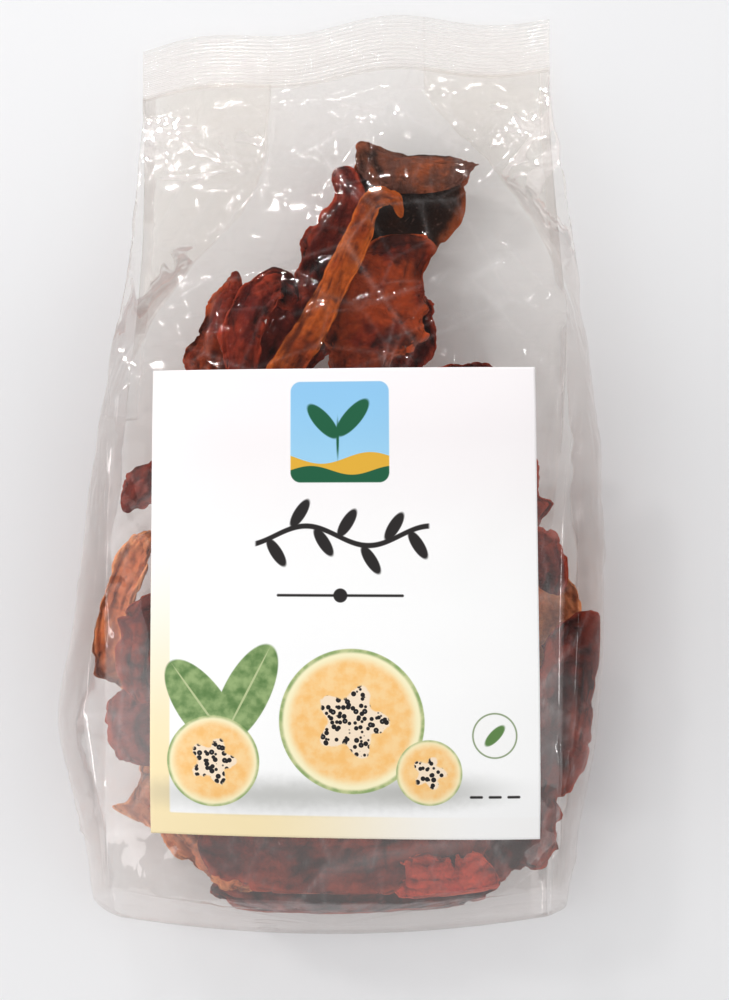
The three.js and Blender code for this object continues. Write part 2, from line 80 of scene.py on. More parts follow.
# The film's form at stations along its length: (y, value) pairs, joined by a smooth curve
PROFILE = {
    "front_height": [(112, 4.9), (96, 5.2), (90, 9), (80, 18.5), (66, 28.5), (45, 37.5), (25, 43),
                     (0, 45.5), (-60, 46), (-85, 45), (-100, 41.5), (-113, 36)],
    "back_height": [(112, 2.5), (96, 2.2), (86, 0.4), (60, 0.25), (-113, 0.25)],
    "right_edge": [(112, 53.4), (92, 53.6), (73, 54.8), (54, 56.5), (35, 58), (11, 57), (-20, 54),
                   (-72, 53), (-113, 53)],
    "left_edge": [(112, -46.2), (92, -46.3), (66, -46.8), (42, -48.6), (18, -51), (-12, -51),
                  (-60, -51), (-113, -52)],
    "right_fold": [(112, 22.5), (94, 22.5), (86, 29), (78, 37), (66, 45), (50, 53.5), (30, 59.4),
                   (11, 62.4), (-20, 64.6), (-45, 65.2), (-72, 63.8), (-96, 59.6), (-113, 57)],
    "left_fold": [(112, -15), (92, -15), (78, -16.5), (66, -21), (52, -33), (40, -43), (28, -50.5),
                  (11, -54.5), (-12, -58), (-43, -61.5), (-68, -65.2), (-80, -63), (-96, -59.5),
                  (-113, -57)],
    "fold_height": [(112, 3.7), (92, 4.2), (80, 8), (60, 14), (30, 18), (-40, 20), (-113, 15)],
    "edge_drop": [(112, 0), (92, 0.3), (75, 4), (50, 7), (20, 6), (-60, 5), (-113, 5)],
}

# Creases pressed into the front panel: from (x, y) to (x, y), how high each stands and how wide it is
CREASES = [
    ((25, 91), (35, 79), 1.3, 1.3),
    ((36, 57), (55, 38), 1.5, 1.2),
    ((46, 80), (33, 66), 1.2, 1.4),
    ((-13.5, 92), (-15.5, 64), 1.2, 1.0),
    ((-38, 84), (-22, 74), 1.4, 1.4),
    ((-40, 72), (-24, 75), 1.2, 1.3),
    ((-36, 82), (-39, 72), 1.2, 1.5),
    ((-27, 84), (-20, 70), 1.1, 1.2),
    ((-14, 72), (-28, 52), 1.0, 1.6),
    ((-6, 82), (8, 62), 1.2, 1.3),
    ((10, 84), (-3, 66), 1.1, 1.3),
    ((2, 90), (14, 84), 1.1, 1.2),
    ((16, 93), (10, 82), 1.2, 1.1),
    ((44, 92), (50, 84), 1.3, 1.2),
    ((50, 84), (53, 93), 1.2, 1.1),
    ((38, 88), (48, 74), 1.1, 1.4),
    ((30, 48), (46, 30), 1.0, 1.5),
    ((-48, 66), (-44, 30), 1.0, 1.4),
    ((-47, 24), (-51, -14), 1.1, 1.4),
    ((45, 52), (30, 44), 1.1, 1.5),
    ((54, 30), (50, 8), 1.0, 1.4),
    ((48, -88), (36, -99), 1.2, 1.3),
    ((53, -84), (42, -92), 1.2, 1.3),
    ((-48, -86), (-38, -99), 1.2, 1.4),
    ((-50, -78), (-40, -94), 1.1, 1.4),
    ((-58, -27), (-63.5, -62), 1.2, 0.9),
    ((-64, -69), (-55, -87), 1.2, 1.0),
    ((-64, -69), (-50, -77), 1.1, 1.0),
    ((-62, -63), (-54, -48), 1.0, 1.0),
    ((-60, -86), (-52, -74), 1.1, 1.0),
    ((60, -88), (52, -97), 1.1, 1.0),
    ((61, -60), (58, -90), 1.0, 0.9),
]

# Where the folded sheet at the top draws the film tight, how far that reaches and how much it flattens it
TAUT_PLACE = (21, 70)
TAUT_REACH = (17, 12)
TAUT_SHARE = 0.8

# How far each thing raises the film, how much all of it is lowered again, and how far the film may sink in
FILM_RAISE = {"slack": 0.8, "broad": 1.5, "middle": 0.9, "small": 0.22, "gathers": 0.9}
FILM_LEVEL = 0.9
FILM_SINK = 0.4
GATHERS_FROM = (0.05, 0.09)
GATHERS_TO = (0.12, 0.3)
FILM_GROUND = 0.25

# The label
LABEL_WIDTH = 89
LABEL_LENGTH = 107
LABEL_CENTRE = (3.6, -29.2)
LABEL_CORNERS = ((-40.8, -81.5), (48.3, -83.3), (46.8, 24.8), (-40.1, 23.9))
LABEL_LIFT = 0.6
LABEL_THICK = 0.25
LABEL_EDGE = 3  # over this distance the film comes free of the label's hold
LABEL_HOLD = 0.97
FRONT_FROM, FRONT_TO = 30, 34  # heights that part the front panel from the back one

# The noise fields: each one's seed, and the size of its cells along the axes of its points
NOISES = {
    "film_slack": (11, 34),
    "film_broad": (12, (30, 26, 30)),
    "film_middle": (13, 12),
    "film_small": (14, 5.5),
    "film_gathers": (15, (7, 60, 30)),
    "film_milk": (13, 13),
    "bottom_dents": (16, 11),
    "seal_depth": (21, (9, 1, 1)),
    "seal_ripple": (22, (12, 1, 1)),
    "label_long": (31, 22),
    "label_short": (32, 9),
    "edge_long": (41, 7),
    "edge_short": (42, 2.7),
    "edge_notches": (48, 1.9),
    "sheet_broad": (51, (15, 7, 9)),
    "sheet_middle": (52, (7, 3.5, 5)),
    "keel_line": (53, (16, 1, 1)),
    "ruffle": (0, (5, 1, 1)),
    "skin_close": (44, (7, 2.8, 3)),
    "skin_small": (46, (2.6, 1.4, 1.6)),
    "skin_creases": (45, (20, 4.5, 5)),
    "skin_long_lines": (54, (8, 2.0, 2.5)),
    "skin_cross_lines": (55, (2.6, 5, 3)),
    "skin_lumps": (47, (9, 6, 5)),
    "rim_patches": (49, (9, 4, 5)),
}

# Dried strips: how blunt and round the ends are, how much the edges and the sheet wave, and the angle in
# radians that tells one strip's waves from the next one's
END_BLUNT = 5
END_ROUND = 2.5
EDGE_WAVE = 0.12
WARP = 0.09
GOLDEN = 2.399963

# The strips. path is the middle line, and width, roll and curl are given at even shares of its length. tone
# names, unless looks does, the material. slant shears the two ends, keel folds the sheet along its middle,
# and rough sets how ragged and wrinkled it is. A tug moves a place on the sheet: (its share of the length,
# its edge from -1 to 1, how far that reaches along and across, the move). side is the direction across the
# sheet where the path can't give it. rim is how wide the bright rims are and rim_from where they begin.
# shade darkens the inside from one share of the length to another by an amount: painted shade under the
# fold of the top strip, and a darker tone on the other strips. age sets how patchy the skin is.
FRUIT = {
    # Its shade is painted shade under its fold.
    "papaya_top_fold": dict(
        tone="mauve", rough=0.5, shade=(0.3, 0.42, 1), age=0, keel=0, slant=(0, 0), rim=0.55,
        rim_from=(0.28, 0.42), width=[26, 28, 28, 27, 24, 19], thick=2.0, roll=[-6, 6], curl=[10, 40],
        side=(1, -0.19, 0),
        tugs=[(0.28, -1, 0.16, 0.6, (-0.6, 2.6, 0)), (0.3, 0, 0.12, 0.5, (0, -0.8, 0))],
        path=[(20.5, 67.5, 19.5), (20.3, 75.2, 18.5), (20.3, 77.2, 13.5), (19, 70, 8.5), (16.5, 60, 5.5),
              (12.5, 50, 5)]),
    "papaya_dark_knob": dict(
        tone="maroon", width=[10, 8, 13, 14, 14, 12], thick=3, roll=[10, -10], curl=[60, 50],
        path=[(2.5, 75, 13), (4, 67.5, 13.5), (2, 58, 13.5), (-2, 49, 13), (-5, 39, 13), (-7.5, 27, 13.5)]),
    "papaya_amber_hook": dict(
        tone="amber", rough=0.6, age=1, keel=-0.5, width=[3, 4.6, 6.2, 8, 9, 9], thick=2.0, roll=[0, 12],
        curl=[90, 60], path=[(17, 62, 18.5), (15, 66, 21), (10, 65, 24), (6.5, 57, 26.5), (1.5, 46, 30),
                             (-4, 34, 34.5), (-10, 24, 37.5), (-14, 14, 38.5)]),
    "papaya_red_sheet": dict(
        tone="red", age=1.1, width=[17, 20, 22, 21, 16], thick=1.8, roll=[-4, 6], curl=[40, 50],
        slant=(-0.15, 0), shade=(0.34, 0.0, 0.3),
        tugs=[(0.12, 1, 0.05, 0.4, (1.6, 0.5, 0)), (0.24, 1, 0.04, 0.35, (-1.2, 0, -1)),
              (0.36, 1, 0.04, 0.35, (1.0, 0, 0))],
        path=[(16.5, 58, 18), (15.5, 50, 20.5), (11.2, 40, 24), (7.5, 31, 26.5), (5, 21, 28.5)]),
    "papaya_small_scrap": dict(
        tone="maroon", width=[6, 9, 10, 8], thick=2.4, roll=[12, -8], curl=[50, 30],
        path=[(20.5, 45, 12.5), (21, 39, 13.5), (20, 32.5, 15), (18, 26, 16)]),
    "papaya_pointed_strip": dict(
        tone="red", width=[3.5, 10, 13, 13], thick=2.4, roll=[14, -6], curl=[60, 50],
        path=[(-22.5, 49.5, 14), (-24.5, 40, 18), (-28, 28, 22), (-32, 17, 24.5)]),
    "papaya_arched_strip": dict(
        tone="maroon", width=[9, 10, 9, 8], thick=2.4, roll=[4, -14], curl=[70, 60],
        path=[(-21, 21, 32), (-20, 33, 31.5), (-17, 42, 29.5), (-12, 45.5, 27), (-8, 41, 24.5)]),
    "papaya_dark_wedge": dict(
        tone="maroon", width=[13, 17, 14], thick=2.8, roll=[-8, 8], curl=[50, 50],
        path=[(-17, 13, 25), (-14, 25, 23.5), (-9, 38, 21)]),
    "papaya_label_top_strip": dict(
        tone="maroon", width=[9, 12, 12, 9], thick=2.8, roll=[-10, 10], curl=[60, 60],
        path=[(19, 16, 33.5), (27, 20.3, 34), (36, 20.8, 33), (44, 17, 30)]),
    "papaya_left_tip": dict(
        tone="maroon", width=[7, 12, 13, 11], thick=2.8, roll=[8, -8], curl=[40, 60],
        path=[(-49.5, -7, 24), (-42, -1, 26), (-32, 3, 28), (-22, 4, 30)]),
    "papaya_left_tan": dict(
        tone="tan", width=[6.5, 7, 7.5, 8.5, 9, 8], thick=2.6, roll=[-10, 14], curl=[60, 60], slant=(0, 0),
        tugs=[(0.78, -1, 0.05, 0.5, (-1.8, -0.6, 0))],
        path=[(-42, -13, 23), (-46, -19, 22.5), (-50.5, -28, 20), (-53, -38, 17), (-51.5, -46, 15),
              (-47.5, -50.5, 14)]),
    "papaya_left_upper_maroon": dict(
        tone="maroon", width=[8, 10, 10, 8], thick=2.8, roll=[6, -12], curl=[50, 70],
        tugs=[(0.3, -1, 0.06, 0.5, (-2.4, 1.0, 0))],
        path=[(-41, -27, 31), (-43.5, -36, 31.5), (-45, -45, 30.5), (-43, -53, 29)]),
    "papaya_left_lower_maroon": dict(
        tone="maroon", width=[8, 11, 12, 9], thick=2.8, roll=[10, -10], curl=[60, 50],
        path=[(-45, -48, 20), (-47.5, -55, 20.5), (-47.5, -62, 21), (-43, -68.5, 22)]),
    "papaya_left_hook": dict(
        tone="tan", width=[6, 7, 8, 6.5], thick=2.4, roll=[0, 10], curl=[60, 60],
        tugs=[(0.74, -1, 0.06, 0.5, (-4.2, 2.0, 0)), (0.5, -1, 0.06, 0.4, (1.2, 0, 0))],
        path=[(-41.5, -60, 12), (-43.5, -69, 12), (-44.5, -78, 13), (-41, -85.5, 12.5)]),
    "papaya_right_horn": dict(
        tone="maroon", width=[6, 6, 6, 6.5, 6], thick=3, roll=[10, -10], curl=[60, 60], slant=(0, 0),
        tugs=[(0.68, 1, 0.06, 0.5, (2.6, 1.4, 0))],
        path=[(42, 13, 20), (45, 4, 23), (46.2, -3, 24), (46.6, -9, 23), (45, -13, 22)]),
    "papaya_right_lobe": dict(
        tone="maroon", width=[9, 11, 10, 7], thick=2.6, roll=[0, -12], curl=[70, 50],
        path=[(44, -13, 34), (48, -17, 31.5), (51, -21, 28.5), (50.5, -27, 25.5)]),
    "papaya_right_tan": dict(
        tone="tan", width=[10, 14, 14, 10], thick=2.2, roll=[0, -6], curl=[40, 50],
        path=[(47.5, -17, 15), (50.5, -26, 16.5), (51.5, -36, 15), (49, -46, 13)]),
    "papaya_right_big": dict(
        tone="maroon", rough=1.3, shade=(-0.1, 0.0, 0.2), age=0.6, keel=0.5, rim=0.85, slant=(-0.3, 0.1),
        curl=[80, 70], width=[17, 19, 20, 18, 16, 12], thick=2.6, roll=[-4, 4],
        tugs=[(0.04, 1, 0.07, 0.4, (2.2, 2.6, 0)), (0.62, 1, 0.05, 0.4, (-1.4, 0, 0))],
        path=[(56, -34, 23), (55.5, -46, 21.5), (53, -61, 21), (47.5, -76, 19.5), (42, -88, 17.5),
              (37, -96, 16)]),
    "papaya_bottom_tan": dict(
        tone="tan", rough=1.3, width=[7, 9, 11, 9], thick=2.6, roll=[8, -8], curl=[60, 60],
        path=[(-41, -81, 21.5), (-33.5, -87, 20), (-24.5, -92.5, 18), (-14, -97.5, 16.5)]),
    "papaya_bottom_dark": dict(
        tone="maroon", width=[12, 16, 17, 16, 14], thick=3.2, roll=[8, -8], curl=[50, 50],
        path=[(-31, -85, 29), (-15, -89.5, 28.5), (3, -90, 27.5), (20, -88.5, 25), (38, -86, 22)]),
    "papaya_bottom_red": dict(
        tone="red", looks="scarlet", rough=1.5, age=1.3, width=[11, 15, 16, 12], thick=3.0, roll=[8, -8],
        curl=[60, 60], path=[(14, -96, 23), (22, -96.5, 26), (31, -96, 27.5), (38.5, -92, 29)]),
    "papaya_bottom_edge": dict(
        tone="red", looks="maroon", rough=1.5, shade=(-0.1, 0, 0.2), width=[8, 10, 10.5, 9], thick=2.8,
        roll=[14, -10], curl=[50, 60],
        path=[(-29, -99, 9), (-4, -104.5, 9), (19, -104, 10), (41, -98, 10.5)]),
    "papaya_upper_left": dict(
        tone="red", width=[14, 20, 19, 13], thick=3, roll=[8, -10], curl=[60, 70],
        path=[(-27, -76, 33), (-25, -52, 36), (-27, -28, 36), (-25, -8, 36)]),
    "papaya_upper_middle": dict(
        tone="maroon", width=[14, 21, 20, 14], thick=3.2, roll=[-8, 10], curl=[60, 50],
        path=[(1, -78, 34), (-1, -50, 37), (1, -24, 38), (-1, 0, 37)]),
    "papaya_upper_right": dict(
        tone="red", width=[13, 19, 18, 13], thick=3, roll=[8, -8], curl=[50, 70],
        path=[(25, -78, 34), (26, -52, 36), (25, -26, 37), (27, -1, 36)]),
    "papaya_inner_left": dict(
        tone="amber", width=[13, 19, 18, 12], thick=3, roll=[-10, 10], curl=[70, 60],
        path=[(-30, -72, 26), (-16, -56, 27), (-20, -34, 28), (-30, -16, 27)]),
    "papaya_inner_middle": dict(
        tone="red", width=[12, 17, 18, 12], thick=3, roll=[10, -8], curl=[60, 70],
        path=[(-2, -76, 26), (6, -56, 27.5), (1, -32, 28), (-4, -12, 28)]),
    "papaya_inner_right": dict(
        tone="tan", width=[12, 18, 17, 12], thick=3, roll=[-8, 10], curl=[70, 50],
        path=[(30, -74, 25.5), (27, -54, 26.5), (24, -32, 28), (31, -12, 27)]),
    "papaya_middle_low": dict(
        tone="red", width=[13, 19, 18, 13], thick=3.4, roll=[8, -10], curl=[80, 70],
        path=[(-35, -77, 15), (-12, -80, 15.5), (10, -76, 16), (35, -79, 15.5)]),
    "papaya_middle_belly": dict(
        tone="amber", width=[13, 20, 19, 14], thick=3.4, roll=[-8, 10], curl=[80, 60],
        path=[(-37, -52, 15.5), (-14, -55, 16.5), (8, -51, 16.5), (38, -54, 15.5)]),
    "papaya_middle_high": dict(
        tone="maroon", width=[14, 20, 20, 14], thick=3.4, roll=[10, -8], curl=[70, 80],
        path=[(-38, -25, 16), (-16, -28, 17), (8, -24, 17), (38, -27, 16)]),
    "papaya_middle_neck": dict(
        tone="tan", width=[12, 17, 17, 13], thick=3.2, roll=[-8, 8], curl=[80, 60],
        path=[(-36, -1, 17.5), (-12, 2, 18.5), (12, 1, 19), (38, -5, 17)]),
    "papaya_low_left": dict(
        tone="maroon", width=[15, 21, 20, 14], thick=3.6, roll=[4, -4], curl=[70, 80],
        path=[(-34, -90, 5), (-37, -66, 4), (-35, -40, 4.5), (-37, -14, 5)]),
    "papaya_low_middle": dict(
        tone="amber", width=[16, 23, 22, 16], thick=3.6, roll=[-4, 4], curl=[80, 60],
        path=[(-7, -92, 5), (-9, -66, 4), (-6, -40, 4.5), (-9, -12, 5)]),
    "papaya_low_right": dict(
        tone="red", width=[16, 23, 22, 15], thick=3.6, roll=[4, -4], curl=[60, 80],
        path=[(21, -90, 5), (19, -64, 4), (22, -38, 4.5), (19, -10, 5)]),
    "papaya_low_side": dict(
        tone="tan", width=[10, 13, 13, 10], thick=3.2, roll=[-4, 4], curl=[60, 70],
        path=[(42, -84, 6), (42, -62, 5), (43, -40, 5), (42, -18, 6)]),
    "papaya_neck_left": dict(
        tone="amber", width=[14, 19, 18, 11], thick=3.2, roll=[4, -4], curl=[70, 70],
        path=[(-30, -8, 6), (-26, 8, 5), (-22, 24, 5), (-20, 38, 5.5)]),
    "papaya_neck_right": dict(
        tone="maroon", width=[14, 19, 17, 11], thick=3.2, roll=[-4, 4], curl=[60, 70],
        path=[(12, -4, 6.5), (16, 10, 5.5), (12, 26, 5), (8, 40, 5.5)]),
}


# Curves and noise


def along(pairs, y):
    """A smooth curve through (y, value) pairs with y falling, for an array of y. It never overshoots."""
    ys, values = np.array(pairs, float).T
    chord = np.diff(values) / np.diff(ys)
    a, b = chord[:-1], chord[1:]
    same = a * b > 0
    inner = np.where(same, 2 * a * b / np.where(same, a + b, 1), 0)
    slope = np.concatenate([chord[:1], inner, chord[-1:]])
    y = np.asarray(y, float)
    i = np.clip(np.searchsorted(-ys, -y, side="right") - 1, 0, len(ys) - 2)
    span = ys[i + 1] - ys[i]
    t = np.clip((y - ys[i]) / span, 0, 1)
    rise = t * t * (3 - 2 * t)
    lean = span * (slope[i] * t * (1 - t) ** 2 - slope[i + 1] * t * t * (1 - t))
    return values[i] + (values[i + 1] - values[i]) * rise + lean


def ease(x, low, high):
    """Rises smoothly from 0 at low to 1 at high."""
    t = np.clip((x - low) / (high - low), 0, 1)
    return t * t * (3 - 2 * t)


NOISE_CELLS = 32
JAG_COUNT = 64
FAR_AWAY = 9.0


def stack(*axes):
    """Points from their coordinates, which are spread to one shape."""
    return np.stack(np.broadcast_arrays(*axes), -1)


def field(points, name, extra=0):
    """A noise field's random numbers, and the points in units of its cells."""
    seed, size = NOISES[name]
    return np.random.default_rng(seed + extra), points / np.array(size, float)


def noise(points, name, extra=0):
    """Smooth noise from -1 to 1: random values at whole-number places, blended between them."""
    chance, points = field(points, name, extra)
    table = chance.uniform(-1, 1, (NOISE_CELLS,) * 3)
    cell = np.floor(points).astype(int)
    f = points - cell
    f = f * f * f * (f * (f * 6 - 15) + 10)
    total = np.zeros(points.shape[:-1])
    for corner in itertools.product((0, 1), repeat=3):
        weight = np.prod(np.where(np.array(corner) == 1, f, 1 - f), axis=-1)
        i = (cell + np.array(corner)) % NOISE_CELLS
        total += weight * table[i[..., 0], i[..., 1], i[..., 2]]
    return total


def ridge(points, name, sharp):
    """Narrow crests from 0 to 1 that run along the lines where smooth noise crosses zero."""
    return np.exp(-np.abs(noise(points, name)) / sharp)


def facets(points, name):
    """Flat facets that meet in straight sharp creases. Each cell of a lattice has one random point, and
    this is how much further the second nearest of them is than the nearest: 0 on the creases, and up to
    about 1."""
    chance, points = field(points, name)
    offset = chance.uniform(0, 1, (NOISE_CELLS,) * 3 + (3,))
    cell = np.floor(points).astype(int)
    first = np.full(points.shape[:-1], FAR_AWAY)
    second = first.copy()
    for step in itertools.product((-1, 0, 1), repeat=3):
        other = cell + np.array(step)
        i = other % NOISE_CELLS
        away = np.linalg.norm(other + offset[i[..., 0], i[..., 1], i[..., 2]] - points, axis=-1)
        second = np.minimum(second, np.maximum(first, away))
        first = np.minimum(first, away)
    return second - first


def jags(place, name):
    """Random values from -1 to 1 at whole numbers, joined by straight lines."""
    chance, place = field(place, name)
    table = chance.uniform(-1, 1, JAG_COUNT)
    low = np.floor(place).astype(int)
    return table[low % JAG_COUNT] + (table[(low + 1) % JAG_COUNT] - table[low % JAG_COUNT]) * (place - low)


def normals_of(grid, wrap):
    """The normal at each point of a grid, from the steps to its neighbours along both directions."""
    down = np.gradient(grid, axis=0)
    if wrap:
        across = (np.roll(grid, -1, axis=1) - np.roll(grid, 1, axis=1)) / 2
    else:
        across = np.gradient(grid, axis=1)
    normal = np.cross(down, across)
    return normal / np.maximum(np.linalg.norm(normal, axis=-1, keepdims=True), 1e-9)


# Meshes


def grid_faces(rows, columns, wrap):
    """The four corners of each cell of a grid of points; with wrap, its last column joins its first."""
    i, j = np.meshgrid(np.arange(rows - 1), np.arange(columns if wrap else columns - 1), indexing="ij")
    k = (j + 1) % columns
    corners = [i * columns + j, i * columns + k, (i + 1) * columns + k, (i + 1) * columns + j]
    return np.stack(corners, -1).reshape(-1, 4)


def mesh_object(name, points, quads, tris=None, uv=None, marks=None, smooth=True):
    """An object from points in millimetres, faces of four and three corners, and points' UV and marks."""
    mesh = bpy.data.meshes.new(name)
    tris = np.zeros((0, 3), int) if tris is None else tris
    corners = np.concatenate([quads.ravel(), tris.ravel()]).astype(np.int32)
    starts = np.concatenate([np.arange(len(quads)) * 4, len(quads) * 4 + np.arange(len(tris)) * 3])
    starts = starts.astype(np.int32)
    mesh.vertices.add(len(points))
    mesh.vertices.foreach_set("co", (points * MM).astype(np.float32).ravel())
    mesh.loops.add(len(corners))
    mesh.loops.foreach_set("vertex_index", corners)
    mesh.polygons.add(len(starts))
    mesh.polygons.foreach_set("loop_start", starts)
    mesh.polygons.foreach_set("use_smooth", np.full(len(starts), smooth))
    mesh.update(calc_edges=True)
    if uv is not None:
        mesh.uv_layers.new(name="UVMap").data.foreach_set("uv", uv[corners].astype(np.float32).ravel())
    for mark, values in (marks or {}).items():
        data = mesh.attributes.new(mark, "FLOAT", "POINT").data
        data.foreach_set("value", values.astype(np.float32).ravel())
    mesh.validate()
    obj = bpy.data.objects.new(name, mesh)
    bpy.context.scene.collection.objects.link(obj)
    return obj


# The film


def film_y(x, z, v):
    """Where the point at x and z, a share v of the way down the bag, lies along its length."""
    aside = x - MIDDLE_X
    wave = TOP_WAVE["height"] * np.cos(2 * np.pi * (x - TOP_WAVE["start"]) / TOP_WAVE["length"])
    top = TOP_END + TOP_SLOPE * aside - TOP_BOW * aside**2 + wave
    bottom = BOTTOM_END + BOTTOM_CURVE * (x / BOTTOM_HALF_WIDTH) ** 2 + BOTTOM_LEAN * z
    return top + (bottom - top) * v


def seal_wave(x, v):
    """The gentle wave of the flat sealed end, which fades out down the bag."""
    fade = 1 - ease(v, SEAL_WAVE["fade_from"], SEAL_WAVE["fade_to"])
    wave = np.sin(2 * np.pi * (x - SEAL_WAVE["start"]) / SEAL_WAVE["length"])
    return SEAL_WAVE["height"] * (1 + wave) * fade


def station(v):
    """The film's sizes at the share v of the way down."""
    y = STATION_TOP + (STATION_BOTTOM - STATION_TOP) * v
    return {name: along(pairs, y) for name, pairs in PROFILE.items()}


def front_height(x, at):
    """The front panel's height at x, which falls towards the panel's two edges as a cube."""
    edge = np.where(x < 0, at["left_edge"], at["right_edge"])
    return at["front_height"] - at["edge_drop"] * np.abs(x / edge) ** 3


def gusset(edge, fold, t, upper, at):
    """A gusset half as x and z, from the panel's edge at t = 0 to the middle fold at t = 1: folded straight
    in where the bag is flat, and a quarter of an ellipse that bulges out where it is full."""
    opened = ease((fold - edge) * np.sign(edge), -GUSSET_DEPTH, OPEN_REACH)
    half = LAYER_PITCH / 2 * (1 + opened)
    bend = (1 - opened) * t + opened * np.sin(t * np.pi / 2)
    fall = (1 - opened) * t + opened * (1 - np.cos(t * np.pi / 2))
    top = at["front_height"] - at["edge_drop"] - LAYER_PITCH
    low = at["back_height"] + LAYER_PITCH
    middle = np.clip(at["fold_height"], low + half, top - half)
    z = top + (middle + half - top) * fall if upper else low + (middle - half - low) * fall
    return edge + (fold - edge) * bend, z


def film_points(turn, v):
    """The film's middle surface. turn goes once around the bag: 0 to 1 is the front panel from left to
    right, 1 to 3 the right gusset down to the back, 3 to 4 the back panel and 4 to 6 the left gusset up
    again. v goes down the bag."""
    turn, v = np.broadcast_arrays(turn, v)
    at = station(v)
    left, right = at["left_edge"], at["right_edge"]
    x_front = left + (right - left) * turn
    x_back = right - (right - left) * (turn - 3)
    sides = [
        (x_front, front_height(x_front, at)),
        gusset(right, at["right_fold"], turn - 1, True, at),
        gusset(right, at["right_fold"], 3 - turn, False, at),
        (x_back, at["back_height"] + 0 * x_back),
        gusset(left, at["left_fold"], turn - 4, False, at),
        gusset(left, at["left_fold"], 6 - turn, True, at),
    ]
    which = np.clip(np.floor(turn), 0, 5).astype(int)
    x = np.choose(which, [s[0] for s in sides])
    z = np.choose(which, [s[1] for s in sides]) + seal_wave(x, v)
    return np.stack([x, film_y(x, z, v), z], -1)


def random_creases():
    """Short creases scattered over the front panel, above and beside the label, in the named ones' form."""
    chance = np.random.default_rng(61)
    count = 70
    x = chance.uniform(-50, 55, count)
    y = 94 - 70 * chance.uniform(0, 1, count) ** 1.3
    beside = chance.uniform(0, 1, count) < 0.3
    x = np.where(beside, np.sign(x) * chance.uniform(43, 54, count), x)
    y = np.where(beside, chance.uniform(-108, 20, count), y)
    way = chance.uniform(0, np.pi, count)
    reach = chance.uniform(4, 13, count)
    dx, dy = np.cos(way) * reach, np.sin(way) * reach
    rise = chance.uniform(0.3, 0.9, count)
    wide = chance.uniform(0.8, 1.4, count)
    ends = zip(x - dx, y - dy, x + dx, y + dy)
    return [((a, b), (c, d), high, broad) for (a, b, c, d), high, broad in zip(ends, rise, wide)]


def label_cover(points):
    """1 under the label and 0 away from it, for the film that the label holds flat."""
    x, y = points[..., 0] - LABEL_CENTRE[0], points[..., 1] - LABEL_CENTRE[1]
    past = np.maximum(np.abs(x) - LABEL_WIDTH / 2, np.abs(y) - LABEL_LENGTH / 2)
    inside = 1 - ease(past, -LABEL_EDGE, LABEL_EDGE)
    return inside * ease(points[..., 2], FRONT_FROM, FRONT_TO)


def crease_height(points, narrow=1.0):
    """How far the pressed creases stand out of the front panel: a sharp crest along each line, which fades
    towards the line's ends as a sine."""
    height = np.zeros(points.shape[:-1])
    for start, end, rise, wide in CREASES + random_creases():
        a, b = np.array(start, float), np.array(end, float)
        line = b - a
        place = points[..., :2] - a
        t = np.clip(place @ line / (line @ line), 0, 1)
        away = np.linalg.norm(place - t[..., None] * line, axis=-1)
        height += rise * np.exp(-away / (wide * narrow)) * np.sin(np.pi * np.clip(t, 0.06, 0.94))
    return height


def film_relief(points, v, front):
    """How far the film stands off its smooth form: long slack waves, straight-edged facets at three scales,
    folds that run down from the seal and, on the front, the pressed creases. The label holds the film under
    it flat, and the folded sheet at the top draws it tight."""
    slack = FILM_RAISE["slack"] * noise(points, "film_slack")
    broad = FILM_RAISE["broad"] * facets(points, "film_broad")
    crumple = broad + FILM_RAISE["middle"] * facets(points, "film_middle") - FILM_LEVEL
    fine = FILM_RAISE["small"] * facets(points, "film_small")
    gathers = FILM_RAISE["gathers"] * ridge(points, "film_gathers", 0.2)
    gathers = gathers * ease(v, *GATHERS_FROM) * (1 - ease(v, *GATHERS_TO))
    total = np.maximum(slack + crumple + fine + gathers + front * crease_height(points), -FILM_SINK)
    aside, along_it = np.moveaxis((points[..., :2] - TAUT_PLACE) / TAUT_REACH, -1, 0)
    taut = np.exp(-((aside**2 + along_it**2) ** 2))
    free = ease(v, SEAL_SHARE, SEAL_SHARE + 0.03) * (1 - TAUT_SHARE * taut)
    return total * free * (1 - LABEL_HOLD * label_cover(points))


def film_haze(points, v, front, sides, fold):
    """How milky the film is: more just below the seal, over the lower half and along its creases, and less
    on the gussets, which are seen edge on."""
    creases = np.exp(-facets(points, "film_broad") / 0.02)
    creases = creases + 0.6 * np.exp(-facets(points, "film_milk") / 0.03)
    pressed = front * crease_height(points, 0.3)
    around = 0.2 * (1 - ease(v, 0.05, 0.1)) + 0.2 * ease(v, 0.4, 0.6) + 0.5 * ease(v, 0.6, 0.85)
    upper = 1 - ease(v, 0.3, 0.5)
    return around + 0.35 * creases + 0.5 * pressed - 0.03 - sides * (0.42 + 2 * upper * fold)


# The film's grid: rows down its upper and lower part, which meet a share of the way down, and columns
FILM_UPPER_ROWS = 150
FILM_LOWER_ROWS = 85
ROWS_MEET = 0.42
FILM_FRONT = 225
FILM_GUSSET = 32
FILM_BACK = 20
BOTTOM_ROWS = 14
SEAL_LAP = 0.004  # how far the film reaches up into the seal, as a share of the bag's length
FRONT_FADE = 0.3
FOLD_REACH = 0.06
BOTTOM_DENT = 0.8
BOTTOM_HAZE = 0.6
POLE_HAZE = 0.5


